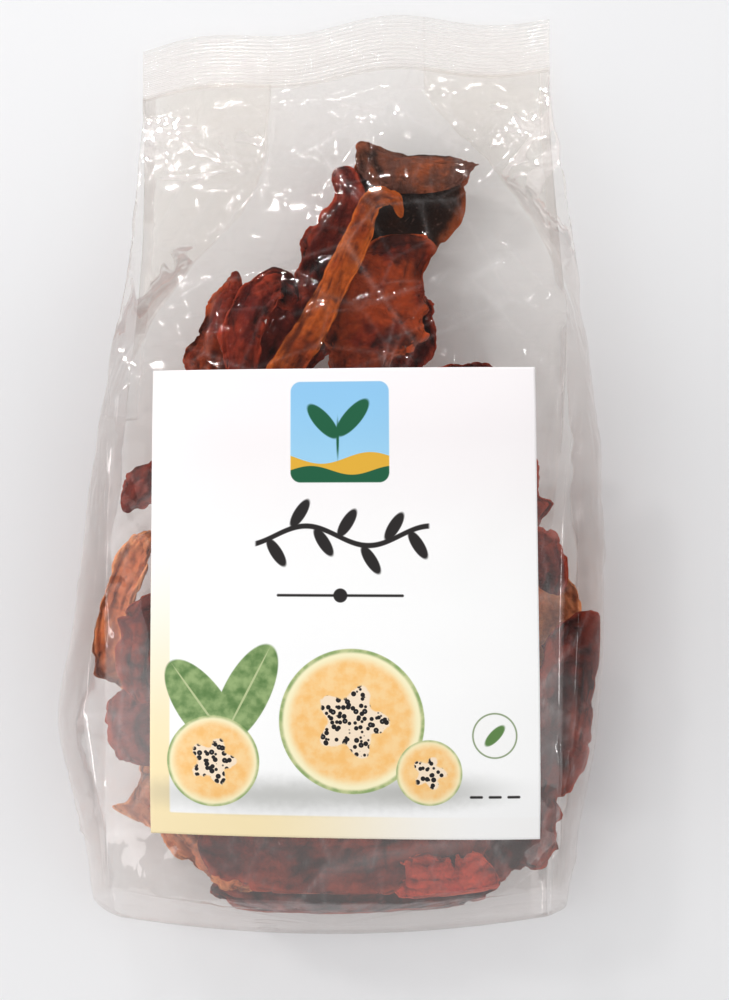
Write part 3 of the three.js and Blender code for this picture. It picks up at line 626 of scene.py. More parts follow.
def film_bag():
    """The bag's film below its seal: the film surface with its relief along the normal, closed by the
    bottom panel, whose rows shrink in even steps towards its middle."""
    counts = [FILM_FRONT, FILM_GUSSET, FILM_GUSSET, FILM_BACK, FILM_GUSSET, FILM_GUSSET]
    turn = np.concatenate([i + np.linspace(0, 1, n, endpoint=False) for i, n in enumerate(counts)])[None, :]
    upper = np.linspace(SEAL_SHARE - SEAL_LAP, ROWS_MEET, FILM_UPPER_ROWS, endpoint=False)
    v = np.concatenate([upper, np.linspace(ROWS_MEET, 1, FILM_LOWER_ROWS)])[:, None]
    smooth = film_points(turn, v)
    front = np.abs(np.sin(np.pi * turn)) ** FRONT_FADE * np.where((turn < 2) | (turn > 5), 1.0, 0.0)
    relief = film_relief(smooth, v, front)
    back = (turn >= 3) & (turn < 4)
    relief = np.where(back, 0, relief)
    wall = smooth + normals_of(smooth, True) * relief[..., None]
    wall[..., 2] = np.maximum(wall[..., 2], FILM_GROUND)
    middle_x, middle_z = BOTTOM_CENTRE
    pole = np.array([middle_x, BOTTOM_END + BOTTOM_LEAN * middle_z - BOTTOM_BULGE, middle_z])
    share = np.linspace(1, 0, BOTTOM_ROWS + 1)[1:-1, None, None]
    end = pole + (wall[-1] - pole) * share
    end[..., 1] += BOTTOM_DENT * ridge(end, "bottom_dents", 0.15) * np.sin(np.pi * share[..., 0])
    points = np.concatenate([wall, end])
    rows, columns = points.shape[:2]
    quads = grid_faces(rows, columns, True)[:, ::-1]
    last = (rows - 1) * columns + np.arange(columns)
    tris = np.stack([last, np.full(columns, rows * columns), np.roll(last, -1)], -1)
    sides = np.where((turn <= 1) | back, 0.0, 1.0)
    fold = np.exp(-np.minimum(np.abs(turn - 2), np.abs(turn - 5)) / FOLD_REACH)
    haze = film_haze(smooth, v, front, sides, fold)
    haze = np.concatenate([haze, np.full((rows - len(v), columns), BOTTOM_HAZE)])
    return mesh_object("clear_film", np.concatenate([points.reshape(-1, 3), pole[None]]), quads, tris,
                       marks={"haze": np.append(haze.ravel(), POLE_HAZE)})


SEAL_ROWS = 113
SEAL_COLUMNS = 240
SEAL_THICK = 1.0
RIB_START = 0.003
RIPPLE_HEIGHT = 0.25


def heat_seal():
    """The fused band across the bag's end: a thin closed strip whose two faces carry the same even ribs,
    which follow its wavy edge, as a raised sine of the distance from it. The tucked-in gussets show in it
    as milkier ends with a line at each fold."""
    at = station(np.zeros(1))
    x = np.linspace(at["left_edge"][0], at["right_edge"][0], SEAL_COLUMNS)[None, :]
    v = np.linspace(0, SEAL_SHARE, SEAL_ROWS)[:, None]
    middle = (at["front_height"] + at["back_height"])[0] / 2 + seal_wave(x, v)
    ribs = RIB_HEIGHT * np.sin(2 * np.pi * SEAL_RIBS * v / SEAL_SHARE) * ease(v, 0, RIB_START)
    soft = 1 - 0.35 * noise(stack(x, v * 200, 0 * x), "seal_depth")
    ripple = RIPPLE_HEIGHT * noise(stack(x, v * 30, 0 * x), "seal_ripple")
    z = middle + ribs * soft + ripple
    milk = 0.3 + 0.7 * np.sin(2 * np.pi * SEAL_RIBS * v / SEAL_SHARE + 0.8) * np.clip(soft, 0, 1)
    folds = np.array([at["left_fold"][0], at["right_fold"][0]])
    tucked = (x < folds[0]) | (x > folds[1])
    milk = milk + 0.25 * tucked + 0.8 * np.exp(-np.abs(x[..., None] - folds) / 0.4).sum(-1)
    faces = [stack(x, film_y(x, middle, v), z + side * SEAL_THICK / 2) for side in (1, -1)]
    loop = np.concatenate([faces[0], faces[1][:, ::-1]], axis=1)
    rows, columns = loop.shape[:2]
    quads = grid_faces(rows, columns, True)[:, ::-1]
    half = np.arange(columns // 2 - 1)
    cap = np.stack([half, half + 1, columns - 2 - half, columns - 1 - half], -1)
    ends = np.concatenate([cap, cap[:, ::-1] + (rows - 1) * columns])
    return mesh_object("heat_seal", loop.reshape(-1, 3), np.concatenate([quads, ends]),
                       marks={"haze": np.concatenate([milk, milk[:, ::-1]], axis=1).ravel()})


# The label

HALVINGS = 26
LABEL_COLUMNS = 150
LABEL_ROWS = 180
LONG_WAVE = 0.12
SHORT_WAVE = 0.05


def front_at(x, y):
    """The height of the film's front over a place in plan, found by halving the share of the way down."""
    low, high = np.zeros_like(x), np.ones_like(x)
    for _ in range(HALVINGS):
        v = (low + high) / 2
        z = front_height(x, station(v)) + seal_wave(x, v)
        above = film_y(x, z, v) > y
        low, high = np.where(above, v, low), np.where(above, high, v)
    return front_height(x, station(low)) + seal_wave(x, low)


def front_label():
    """A closed sheet of paper that follows the front panel, a little above it, with faint waves."""
    u, w = np.meshgrid(np.linspace(0, 1, LABEL_COLUMNS), np.linspace(1, 0, LABEL_ROWS))
    low_left, low_right, top_right, top_left = (np.array(corner) for corner in LABEL_CORNERS)
    low = low_left + (low_right - low_left) * u[..., None]
    high = top_left + (top_right - top_left) * u[..., None]
    x, y = np.moveaxis(low + (high - low) * w[..., None], -1, 0)
    flat = np.stack([x, y, 0 * x], -1)
    waves = LONG_WAVE * noise(flat, "label_long") + SHORT_WAVE * noise(flat, "label_short")
    z = front_at(x, y) + LABEL_LIFT + waves
    top = np.stack([x, y, z + LABEL_THICK], -1)
    base = np.stack([x, y, z], -1)
    rows, columns = x.shape
    upper = grid_faces(rows, columns, False)[:, ::-1]
    lower = grid_faces(rows, columns, False) + rows * columns
    grid = np.arange(rows * columns).reshape(rows, columns)
    ring = np.concatenate([grid[0, :-1], grid[:-1, -1], grid[-1, :0:-1], grid[:0:-1, 0]])
    after = np.roll(ring, -1)
    rim = np.stack([ring, after, after + rows * columns, ring + rows * columns], -1)
    uv = np.stack([u, w], -1).reshape(-1, 2)
    points = np.concatenate([top.reshape(-1, 3), base.reshape(-1, 3)])
    faces = np.concatenate([upper, lower, rim])
    return mesh_object("paper_label", points, faces, uv=np.concatenate([uv, uv]))


# The dried fruit


def path_curve(points, t):
    """A rounded curve through given points: places and directions at shares t of the way along them."""
    p = np.array(points, float)
    p = np.concatenate([[2 * p[0] - p[1]], p, [2 * p[-1] - p[-2]]])
    place = t * (len(points) - 1)
    i = np.minimum(place.astype(int), len(points) - 2)
    w = (place - i)[:, None]
    p0, p1, p2, p3 = p[i], p[i + 1], p[i + 2], p[i + 3]
    steps = ((p0, p1), (p1, p2), (p2, p3))
    d0, d1, d2 = (np.sqrt(np.linalg.norm(b - a, axis=1))[:, None] for a, b in steps)
    start = ((p1 - p0) / d0 - (p2 - p0) / (d0 + d1) + (p2 - p1) / d1) * d1
    end = ((p2 - p1) / d1 - (p3 - p1) / (d1 + d2) + (p3 - p2) / d2) * d1
    c2, c3 = -3 * p1 + 3 * p2 - 2 * start - end, 2 * p1 - 2 * p2 + start + end
    place = p1 + start * w + c2 * w**2 + c3 * w**3
    heading = start + 2 * c2 * w + 3 * c3 * w**2
    return place, heading / np.linalg.norm(heading, axis=1, keepdims=True)


def even(values, t):
    """Values listed at even shares of a length, joined by a smooth curve."""
    places = np.linspace(0, 1, len(values))
    return along(list(zip(-places, values)), -t)


def kept_open(gap, soft):
    """A gap that never closes: large ones stay as they are, and small or negative ones shrink towards 0."""
    return (gap + np.sqrt(gap**2 + soft**2)) / 2


# How near the film a strip may come: under its front, over its back, beside its gussets and, as a share of
# the bag's length, towards its bottom. Then how softly it gives way.
HOLD_TOP = 0.8
HOLD_GROUND = 0.7
HOLD_SIDE = 1.0
HOLD_END = 0.985
GIVE = 1.2
LOW_GIVE = 0.8
UNHELD = 999


def hold_in(points):
    """Points moved, where they need to be, to lie inside the film: under its front, over its back, between
    its sides, which are quarter ellipses, and short of its bottom."""
    x, y, z = np.moveaxis(points, -1, 0)
    top, bottom = film_y(x, z, 0.0), film_y(x, z, 1.0)
    at = station(np.clip((top - y) / (top - bottom), 0, HOLD_END))
    ceiling, ground = front_height(x, at) - HOLD_TOP, at["back_height"] + HOLD_GROUND
    z = ceiling - kept_open(ceiling - z, GIVE)
    z = ground + kept_open(z - ground, LOW_GIVE)
    edge = np.where(x < 0, at["left_edge"], at["right_edge"])
    fold = np.where(x < 0, at["left_fold"], at["right_fold"])
    high = at["front_height"] - at["edge_drop"]
    reach = np.where(z > at["fold_height"], high, at["back_height"]) - at["fold_height"]
    cosine = np.clip((z - at["fold_height"]) / reach, 0, 1)
    side = edge + (fold - edge) * np.sqrt(1 - cosine**2)
    wide = (fold - edge) * np.sign(edge) > 0
    limit = np.where(wide, np.abs(side) - HOLD_SIDE, UNHELD)
    x = np.sign(x) * (limit - kept_open(limit - np.abs(x), GIVE))
    low = top + (bottom - top) * HOLD_END
    return np.stack([x, low + kept_open(y - low, LOW_GIVE), z], -1)


# How far apart a strip's two edges, two strips' edges and two strips' skins lie in the noise
EDGES_APART = 31
ENDS_APART = 7
SKINS_APART = 9.0
KEELS = (-0.38, 0.3, -0.3)
WIDE_HALF = 7  # past this half width the keel gets no higher
RIM = 0.25


def strip_lines(spec, rows):
    """A strip's middle line at shares t of its length, which lie closer together at its ends, with three
    directions at each place: ahead along it, to its side and out of the sheet, turned by the roll."""
    t = (1 - np.cos(np.pi * np.arange(1, rows) / rows)) / 2
    centre, ahead = path_curve(spec["path"], t)
    flat = np.array(spec["side"], float) if "side" in spec else np.cross([0, 0, 1], ahead)
    across = flat - ahead * np.sum(flat * ahead, axis=1, keepdims=True)
    across /= np.linalg.norm(across, axis=1, keepdims=True)
    up = np.cross(ahead, across)
    roll = np.radians(even(spec["roll"], t))[:, None]
    side = across * np.cos(roll) + up * np.sin(roll)
    out = up * np.cos(roll) - across * np.sin(roll)
    return t, centre, ahead, side, out


def ragged_edge(where):
    """How an edge wanders, as a share of the half width: jags at two lengths, less short notches."""
    ragged = 0.17 * jags(where, "edge_long") + 0.12 * jags(where, "edge_short")
    return ragged - 0.2 * np.maximum(0, jags(where, "edge_notches") - 0.3)


def sheet_folds(spec, order, sheet, broad, half, rim, rim_side):
    """How far the sheet stands off its smooth bend: flat facets at two sizes, a keel that folds it along a
    wandering line down its middle, and a ruffle that grows towards its rims."""
    forward, s = sheet[..., :1, 0], sheet[..., 1]
    folded = 1.9 * broad + 0.8 * facets(sheet, "sheet_middle") - 0.9
    line = 0.4 * half * noise(stack(forward, 0 * forward, 0 * forward + order), "keel_line")
    keel = spec.get("keel", KEELS[order % 3])
    less = np.minimum(1, WIDE_HALF / np.maximum(half, 1))
    folded += keel * (np.sqrt((s - line) ** 2 + 0.3) - half / 2) * less
    ruffle = 1.1 * rim * noise(stack(forward, 3.0 * rim_side, 0 * forward), "ruffle", order)
    return folded + ruffle


def skin_fields(place):
    """What wrinkles the skin at places along, across and through a strip: close and small facets, creases,
    fine lines both ways and lumps."""
    long_lines = ridge(place, "skin_long_lines", 0.2)
    cross_lines = ridge(place, "skin_cross_lines", 0.2)
    return {
        "close": facets(place, "skin_close"),
        "small": facets(place, "skin_small"),
        "creases": ridge(place, "skin_creases", 0.08),
        "lines": 0.46 * long_lines + 0.4 * cross_lines,
        "lumps": noise(place, "skin_lumps"),
    }


def skin_relief(skin, rough):
    """How far the skin is raised: by its lumps and facets, less its creases and lines."""
    coarse = 0.35 * skin["lumps"] + 0.75 * skin["close"] - 0.65 * skin["creases"]
    return rough * coarse + max(rough, 0.6) * (0.5 * skin["small"] - skin["lines"])


def skin_marks(spec, skin, broad, t, edge, place):
    """The shades of the skin, from 0 in its darkest pits to 1 on its crests, painted shade in its creases
    and painted light on its crests over its own patchy tone, and how much of each place belongs to the
    bright rims. edge is the place across the strip, from -1 to 1."""
    rims = ease(np.abs(edge), 1 - spec.get("rim", RIM), 1.0)
    if "rim_from" in spec:
        rims = rims * ease(t, *spec["rim_from"])
    # shade is painted shade under the top strip's fold, and a darker tone on the other strips.
    shade = ease(t, *spec["shade"][:2]) * (1 - rims) * spec["shade"][2] if "shade" in spec else 0
    # Seams and lines lower the pits, lumps raise them: painted shade and light over the skin's own tone.
    seams = 0.25 * np.exp(-skin["close"] / 0.1) + 0.4 * np.exp(-broad / 0.1) + 0.5 * skin["creases"]
    pits = 0.58 - 0.4 * seams - 0.4 * skin["lines"] + 0.3 * skin["lumps"] + 0.16 * skin["close"] - shade
    rims = rims + 0.25 * noise(place, "rim_patches")
    return np.clip(pits, 0, 1), np.clip(rims, 0, 1)


def closed_strip(name, body, marks):
    """A mesh from rings of points and their marks, closed at each end by a fan around the ring's middle."""
    count, columns = body.shape[:2]
    points = np.concatenate([body.reshape(-1, 3), body[:1].mean(1), body[-1:].mean(1)])
    quads = grid_faces(count, columns, True)[:, ::-1]
    first, last = np.arange(columns), (count - 1) * columns + np.arange(columns)
    start, end = np.full(columns, count * columns), np.full(columns, count * columns + 1)
    tris = [np.stack([np.roll(first, -1), start, first], -1), np.stack([last, end, np.roll(last, -1)], -1)]
    marks = {mark: np.append(at, [at[0].mean(), at[-1].mean()]) for mark, at in marks.items()}
    return mesh_object(name, points, quads, np.concatenate(tris), marks=marks)


def fruit_piece(name, spec, order, rows, columns):
    """A dried strip: an oval section, thinner towards its rims and bent by its curl, carried along the
    middle line. The sheet is folded and warped, its edges wander and ruffle, its ends slant, tugs pull at
    it, and its skin is raised along its normals."""
    t, centre, ahead, side, out = strip_lines(spec, rows)
    length = np.sum(np.linalg.norm(np.diff(centre, axis=0), axis=1))
    t = t[:, None]
    turn = (2 * np.pi * (np.arange(columns) + 0.5) / columns)[None, :]
    edge = np.cos(turn)
    rim = np.abs(edge) ** 2
    rim_side = np.where(edge < 0, 1, 2)
    phase = order * GOLDEN
    rough = spec.get("rough", 1)
    taper = (1 - np.abs(2 * t - 1) ** END_BLUNT) ** (1 / END_ROUND)
    half = even(spec["width"], t) / 2 * taper
    ragged = ragged_edge(t * length + EDGES_APART * rim_side + ENDS_APART * order)
    s = edge * half * (1 + EDGE_WAVE * np.sin(12 * t + phase * rim_side) + rough * ragged)

    sheet = stack(t * length, s, SKINS_APART * order + 0 * s)
    broad = facets(sheet, "sheet_broad")
    folds = sheet_folds(spec, order, sheet, broad, half, rim, rim_side)
    warp = WARP * half * np.sin(7 * t + 2.2 * edge + phase) + rough * folds
    lift = 0.5 * spec["thick"] * taper * np.sin(turn) * (1.15 - 0.4 * rim)
    bend = np.radians(even(spec["curl"], t)) / 2 / half
    angle = bend * s
    x = np.sin(angle) / bend - lift * np.sin(angle)
    z = (1 - np.cos(angle)) / bend + lift * np.cos(angle) + warp * taper
    slant = spec.get("slant", np.random.default_rng(order).uniform(-0.7, 0.7, 2) * rough)
    shear = s * (slant[0] * (1 - ease(t, 0, 0.35)) + slant[1] * ease(t, 0.65, 1))
    body = centre[:, None] + side[:, None] * x[..., None] + out[:, None] * z[..., None]
    body = body + ahead[:, None] * shear[..., None]
    for tug_t, tug_edge, reach_t, reach_edge, pull in spec.get("tugs", ()):
        weight = np.exp(-(((t - tug_t) / reach_t) ** 2) - ((edge - tug_edge) / reach_edge) ** 2)
        body = body + weight[..., None] * np.array(pull, float)

    place = stack(t * length, s, 3 * np.sin(turn) + SKINS_APART * order)
    skin = skin_fields(place)
    relief = taper * skin_relief(skin, rough)
    body = hold_in(body - normals_of(body, True) * relief[..., None])
    pits, rims = skin_marks(spec, skin, broad, t, edge * (1 + ragged), place)
    age = np.full(pits.shape, spec.get("age", 0.5 + 0.5 * math.sin(phase)))
    return closed_strip(name + "_piece", body, {"pits": pits, "rims": rims, "age": age})


# Materials


class Nodes:
    """A short way to place shader nodes in a tree and join them."""

    def __init__(self, tree):
        self.tree = tree

    def add(self, kind, settings=None, **inputs):
        """A node of a kind, with its settings and its inputs, each a value or another node's output."""
        node = self.tree.nodes.new("ShaderNode" + kind)
        for key, value in (settings or {}).items():
            setattr(node, key, value)
        for key, value in inputs.items():
            self.join(node, key, value)
        return node

    def join(self, node, key, value):
        """Sets or links one input, named with underlines for spaces, or numbered as in0, in1."""
        numbered = key[:2] == "in" and key[2:].isdigit()
        socket = node.inputs[int(key[2:]) if numbered else key.replace("_", " ")]
        if isinstance(value, bpy.types.NodeSocket):
            self.tree.links.new(value, socket)
        else:
            socket.default_value = value

    def math(self, operation, *values):
        """A Math node's output."""
        node = self.add("Math", {"operation": operation})
        for i, value in enumerate(values):
            self.join(node, f"in{i}", value)
        return node.outputs[0]

    def mix(self, share, first, second):
        """Two colours mixed by a share."""
        node = self.add("Mix", {"data_type": "RGBA", "clamp_factor": True})
        for i, value in ((0, share), (6, first), (7, second)):
            self.join(node, f"in{i}", value)
        return node.outputs[2]

    def ramp(self, value, low, high):
        """Rises from 0 to 1, eased, as the value goes from low to high."""
        eased = {"interpolation_type": "SMOOTHSTEP"}
        return self.add("MapRange", eased, Value=value, From_Min=low, From_Max=high).outputs[0]


def new_material(name):
    """An empty material with its output, as its Nodes and that output."""
    material = bpy.data.materials.new(name)
    material.use_nodes = True
    material.node_tree.nodes.clear()
    nodes = Nodes(material.node_tree)
    return material, nodes, nodes.add("OutputMaterial")


DUST_TONE = (0.5, 0.3, 0.24, 1)
CRACK_WARP = 0.007


def flesh_group():
    """Dried flesh: its skin darkens into the creases and lightens on the crests, painted shade and light
    over its own tone, glows towards thin rims, and is mottled, cracked and dusted. It gives a colour, a
    roughness and a height for the bump."""
    group = bpy.data.node_groups.new("dried_flesh", "ShaderNodeTree")
    for name in ("Skin", "Rim", "Deep"):
        group.interface.new_socket(name, in_out="INPUT", socket_type="NodeSocketColor")
    for name in ("Dust", "Pits", "Rims", "Age"):
        group.interface.new_socket(name, in_out="INPUT", socket_type="NodeSocketFloat")
    group.interface.new_socket("Color", in_out="OUTPUT", socket_type="NodeSocketColor")
    group.interface.new_socket("Roughness", in_out="OUTPUT", socket_type="NodeSocketFloat")
    group.interface.new_socket("Height", in_out="OUTPUT", socket_type="NodeSocketFloat")
    n = Nodes(group)
    taken = n.tree.nodes.new("NodeGroupInput").outputs
    given = n.tree.nodes.new("NodeGroupOutput")
    place = n.add("TexCoord").outputs["Object"]

    broad = n.add("TexNoise", Vector=place, Scale=110.0, Detail=4.0, Roughness=0.6).outputs["Fac"]
    grain = n.add("TexNoise", Vector=place, Scale=900.0, Detail=5.0, Roughness=0.65).outputs["Fac"]
    stain = n.add("TexNoise", Vector=place, Scale=260.0, Detail=5.0, Roughness=0.7).outputs["Fac"]
    patch = n.ramp(n.math("ADD", broad, n.math("MULTIPLY", taken["Age"], 0.13)), 0.46, 0.7)
    colour = n.mix(n.math("MULTIPLY", patch, 0.7), taken["Skin"], taken["Rim"])
    colour = n.mix(n.math("MULTIPLY", n.ramp(stain, 0.58, 0.36), 0.3), colour, taken["Deep"])
    colour = n.mix(n.math("MULTIPLY", taken["Rims"], 0.85), colour, taken["Rim"])
    # From Pits: painted light on crests, painted shade in creases and under the top fold, over the skin's
    # tone.
    colour = n.mix(n.math("MULTIPLY", n.ramp(taken["Pits"], 0.55, 1.0), 0.5), colour, taken["Rim"])
    shade = n.math("SUBTRACT", 1.0, n.ramp(taken["Pits"], 0.0, 0.45))
    colour = n.mix(n.math("MULTIPLY", shade, 0.85), colour, taken["Deep"])

    bent = n.add("TexNoise", Vector=place, Scale=260.0).outputs["Color"]
    bent = n.add("VectorMath", {"operation": "MULTIPLY_ADD"}, in0=bent, in1=(CRACK_WARP,) * 3, in2=place)
    crack = n.add("TexVoronoi", {"feature": "DISTANCE_TO_EDGE"}, Vector=bent.outputs[0], Scale=340.0)
    crack = n.ramp(crack.outputs["Distance"], 0.0, 0.3)
    colour = n.mix(n.math("MULTIPLY", n.math("SUBTRACT", 1.0, crack), 0.14), colour, taken["Deep"])
    speck = n.ramp(grain, 0.55, 0.75)
    colour = n.mix(n.math("MULTIPLY", speck, taken["Dust"]), colour, DUST_TONE)
    n.join(given, "Color", colour)

    rough = n.math("ADD", n.math("MULTIPLY", grain, 0.35), n.math("MULTIPLY", broad, 0.35))
    n.join(given, "Roughness", n.math("ADD", n.math("MULTIPLY_ADD", taken["Dust"], 0.6, rough), 0.2))
    height = n.math("MULTIPLY_ADD", crack, 0.32, n.math("MULTIPLY_ADD", grain, 0.35, stain))
    n.join(given, "Height", height)
    return group


def flesh(name, group, skin, rim, deep, dust):
    """One tone of dried flesh: a leathery surface with a slight gloss that lets a little light in."""
    material, n, output = new_material(name)
    node = n.tree.nodes.new("ShaderNodeGroup")
    node.node_tree = group
    for key, value in (("Skin", skin), ("Rim", rim), ("Deep", deep)):
        n.join(node, key, (*value, 1))
    n.join(node, "Dust", dust)
    for key in ("Pits", "Rims", "Age"):
        n.join(node, key, n.add("Attribute", {"attribute_name": key.lower()}).outputs["Fac"])
    bump = n.add("Bump", Strength=0.6, Distance=0.0006, Height=node.outputs["Height"])
    shader = n.add("BsdfPrincipled", Base_Color=node.outputs["Color"], Roughness=node.outputs["Roughness"],
                   Normal=bump.outputs[0], IOR=1.4, Specular_IOR_Level=0.25, Subsurface_Weight=0.06,
                   Subsurface_Scale=0.002, Subsurface_Radius=(1.0, 0.3, 0.12))
    n.join(output, "Surface", shader.outputs[0])
    return material


FILM_TINT = (0.989, 0.986, 0.979, 1)
FILM_SHEEN = (0.96, 0.925, 0.92, 1)
FILM_GLANCE = 0.75
FILM_MOST = 0.4


def film_material(name, milk, least, mirror):
    """Clear film: most light goes through it, and the rest meets a surface between a mirror and white that
    shows more at a glance and where the film is milky. It casts only a faint tinted shadow."""
    material, n, output = new_material(name)
    haze = n.add("Attribute", {"attribute_name": "haze"}).outputs["Fac"]
    gloss = n.add("Fresnel", IOR=1.5).outputs[0]
    share = n.math("ADD", n.math("MULTIPLY", gloss, FILM_GLANCE), n.math("MULTIPLY", haze, milk))
    share = n.math("MINIMUM", n.math("MAXIMUM", share, least), FILM_MOST)
    seen = n.math("SUBTRACT", 1.0, n.add("LightPath").outputs["Is Shadow Ray"])
    share = n.math("MULTIPLY", share, seen)
    clear = n.add("BsdfTransparent", Color=FILM_TINT)
    surface = n.add("BsdfPrincipled", Base_Color=FILM_SHEEN, Metallic=mirror, Roughness=0.06)
    mixed = n.add("MixShader", in0=share, in1=clear.outputs[0], in2=surface.outputs[0])
    n.join(output, "Surface", mixed.outputs[0])
    return material


def spot(n, x, y, centre, size, turn=0.0, soft=0.15):
    """1 inside an ellipse on the label and 0 outside, in millimetres from its lower left corner."""
    c, s = math.cos(turn), math.sin(turn)
    dx, dy = n.math("SUBTRACT", x, centre[0]), n.math("SUBTRACT", y, centre[1])
    along_it = n.math("MULTIPLY_ADD", dx, c / size[0], n.math("MULTIPLY", dy, s / size[0]))
    off_it = n.math("MULTIPLY_ADD", dy, c / size[1], n.math("MULTIPLY", dx, -s / size[1]))
    away = n.math("SQRT", n.math("MULTIPLY_ADD", along_it, along_it, n.math("MULTIPLY", off_it, off_it)))
    edge = soft / min(size)
    return n.ramp(away, 1 + edge, 1 - edge)


def past(n, value, middle, reach):
    """How far a value lies past a reach on either side of a middle, and 0 within it."""
    off = n.math("ABSOLUTE", n.math("SUBTRACT", value, middle))
    return n.math("MAXIMUM", n.math("SUBTRACT", off, reach), 0.0)


def panel(n, x, y, centre, size, corner, soft=0.15):
    """1 inside a rectangle with round corners on the label and 0 outside."""
    dx = past(n, x, centre[0], size[0] - corner)
    dy = past(n, y, centre[1], size[1] - corner)
    away = n.math("SQRT", n.math("MULTIPLY_ADD", dx, dx, n.math("MULTIPLY", dy, dy)))
    return n.ramp(away, corner + soft, corner - soft)


INK = (0.035, 0.03, 0.03, 1)
GREEN = (0.02, 0.16, 0.08, 1)
GOLD = (0.80, 0.50, 0.07, 1)
WHITE = (0.97, 0.965, 0.96, 1)
PALE = (0.95, 0.915, 0.925, 1)
PEACH = (0.97, 0.84, 0.56, 1)

# The print's places on the label, in millimetres from its lower left corner
TILE = ((43.5, 92.5), (11.35, 11.45), 2.3)
HILLS = ((0.28, 0, 1.3, 86.6, GOLD), (0.33, 2, 1.0, 83.8, GREEN))
SPROUT = (((39.6, 94.9), (5.0, 1.9), 2.3), ((46.4, 95.7), (5.4, 2.0), 0.85), ((43, 91), (0.3, 4), 0))
VINE_Y = 69
VINE_WAVE = 0.22
VINE_RISE = 2.2
VINE_LEAVES = 7
VINE_LEAF = (3.7, 1.35)
RULE = (43.5, 55.5)
SHADOWS = (((30, 10), (27, 3.2)), ((62, 11.5), (14, 3.2)))
LEAVES = (((12, 30), (12.5, 5.6), 2.2), ((22, 33), (12.5, 5.2), 1.1))
SLICES = (((46, 27), 16.5), ((14.5, 17.5), 10.5), ((63.5, 15.5), 7.5))
RING = (78.5, 24)
DASHES = (74.2, 78.5, 82.8)


def print_ground(n, x, y):
    """White paper, pinker towards its top, with a peach border that fades out upwards and to the right."""
    colour = n.mix(n.ramp(y, 50, 100), WHITE, PALE)
    inner = panel(n, x, y, (54.6, 45.3), (50, 40), 0.3, 0.3)
    fade = n.math("MULTIPLY", n.ramp(x, 78, 20), n.ramp(y, 74, 12))
    fade = n.math("MULTIPLY", fade, n.math("SUBTRACT", 1.0, inner))
    colour = n.mix(fade, colour, PEACH)
    clear = n.math("MULTIPLY", inner, n.ramp(y, 88, 45))
    return n.mix(n.math("MULTIPLY", clear, 0.9), colour, (0.98, 0.98, 0.98, 1))


def print_tile(n, x, y, colour):
    """A blue tile with a sprout over two hills, whose tops are sines."""
    field = n.mix(n.ramp(y, 81, 104), (0.42, 0.70, 0.90, 1), (0.34, 0.62, 0.86, 1))
    for step, start, tall, height, tone in HILLS:
        hill = n.math("SINE", n.math("MULTIPLY_ADD", x, step, start))
        hill = n.math("MULTIPLY_ADD", hill, tall, height)
        field = n.mix(n.ramp(n.math("SUBTRACT", hill, y), -0.1, 0.1), field, tone)
    for centre, size, turn in SPROUT:
        field = n.mix(spot(n, x, y, centre, size, turn), field, GREEN)
    return n.mix(panel(n, x, y, *TILE), colour, field)


def print_vine(n, x, y, colour):
    """A dark vine along a sine with leaves on either side by turns, and a thin rule with a dot below it."""
    wave = n.math("SINE", n.math("MULTIPLY", x, VINE_WAVE))
    off = n.math("ABSOLUTE", n.math("SUBTRACT", y, n.math("MULTIPLY_ADD", wave, VINE_RISE, VINE_Y)))
    within = n.ramp(n.math("ABSOLUTE", n.math("SUBTRACT", x, 44)), 20.2, 19.6)
    colour = n.mix(n.math("MULTIPLY", n.ramp(off, 0.75, 0.45), within), colour, INK)
    for number in range(VINE_LEAVES):
        leaf_x = 27.5 + 5.4 * number
        side = 1 if number % 2 else -1
        centre = (leaf_x + 1.4, VINE_Y + VINE_RISE * math.sin(VINE_WAVE * leaf_x) + 3.3 * side)
        colour = n.mix(spot(n, x, y, centre, VINE_LEAF, 1.0 * side), colour, INK)
    colour = n.mix(panel(n, x, y, RULE, (14.5, 0.3), 0.3), colour, INK)
    return n.mix(spot(n, x, y, RULE, (1.6, 1.6)), colour, INK)


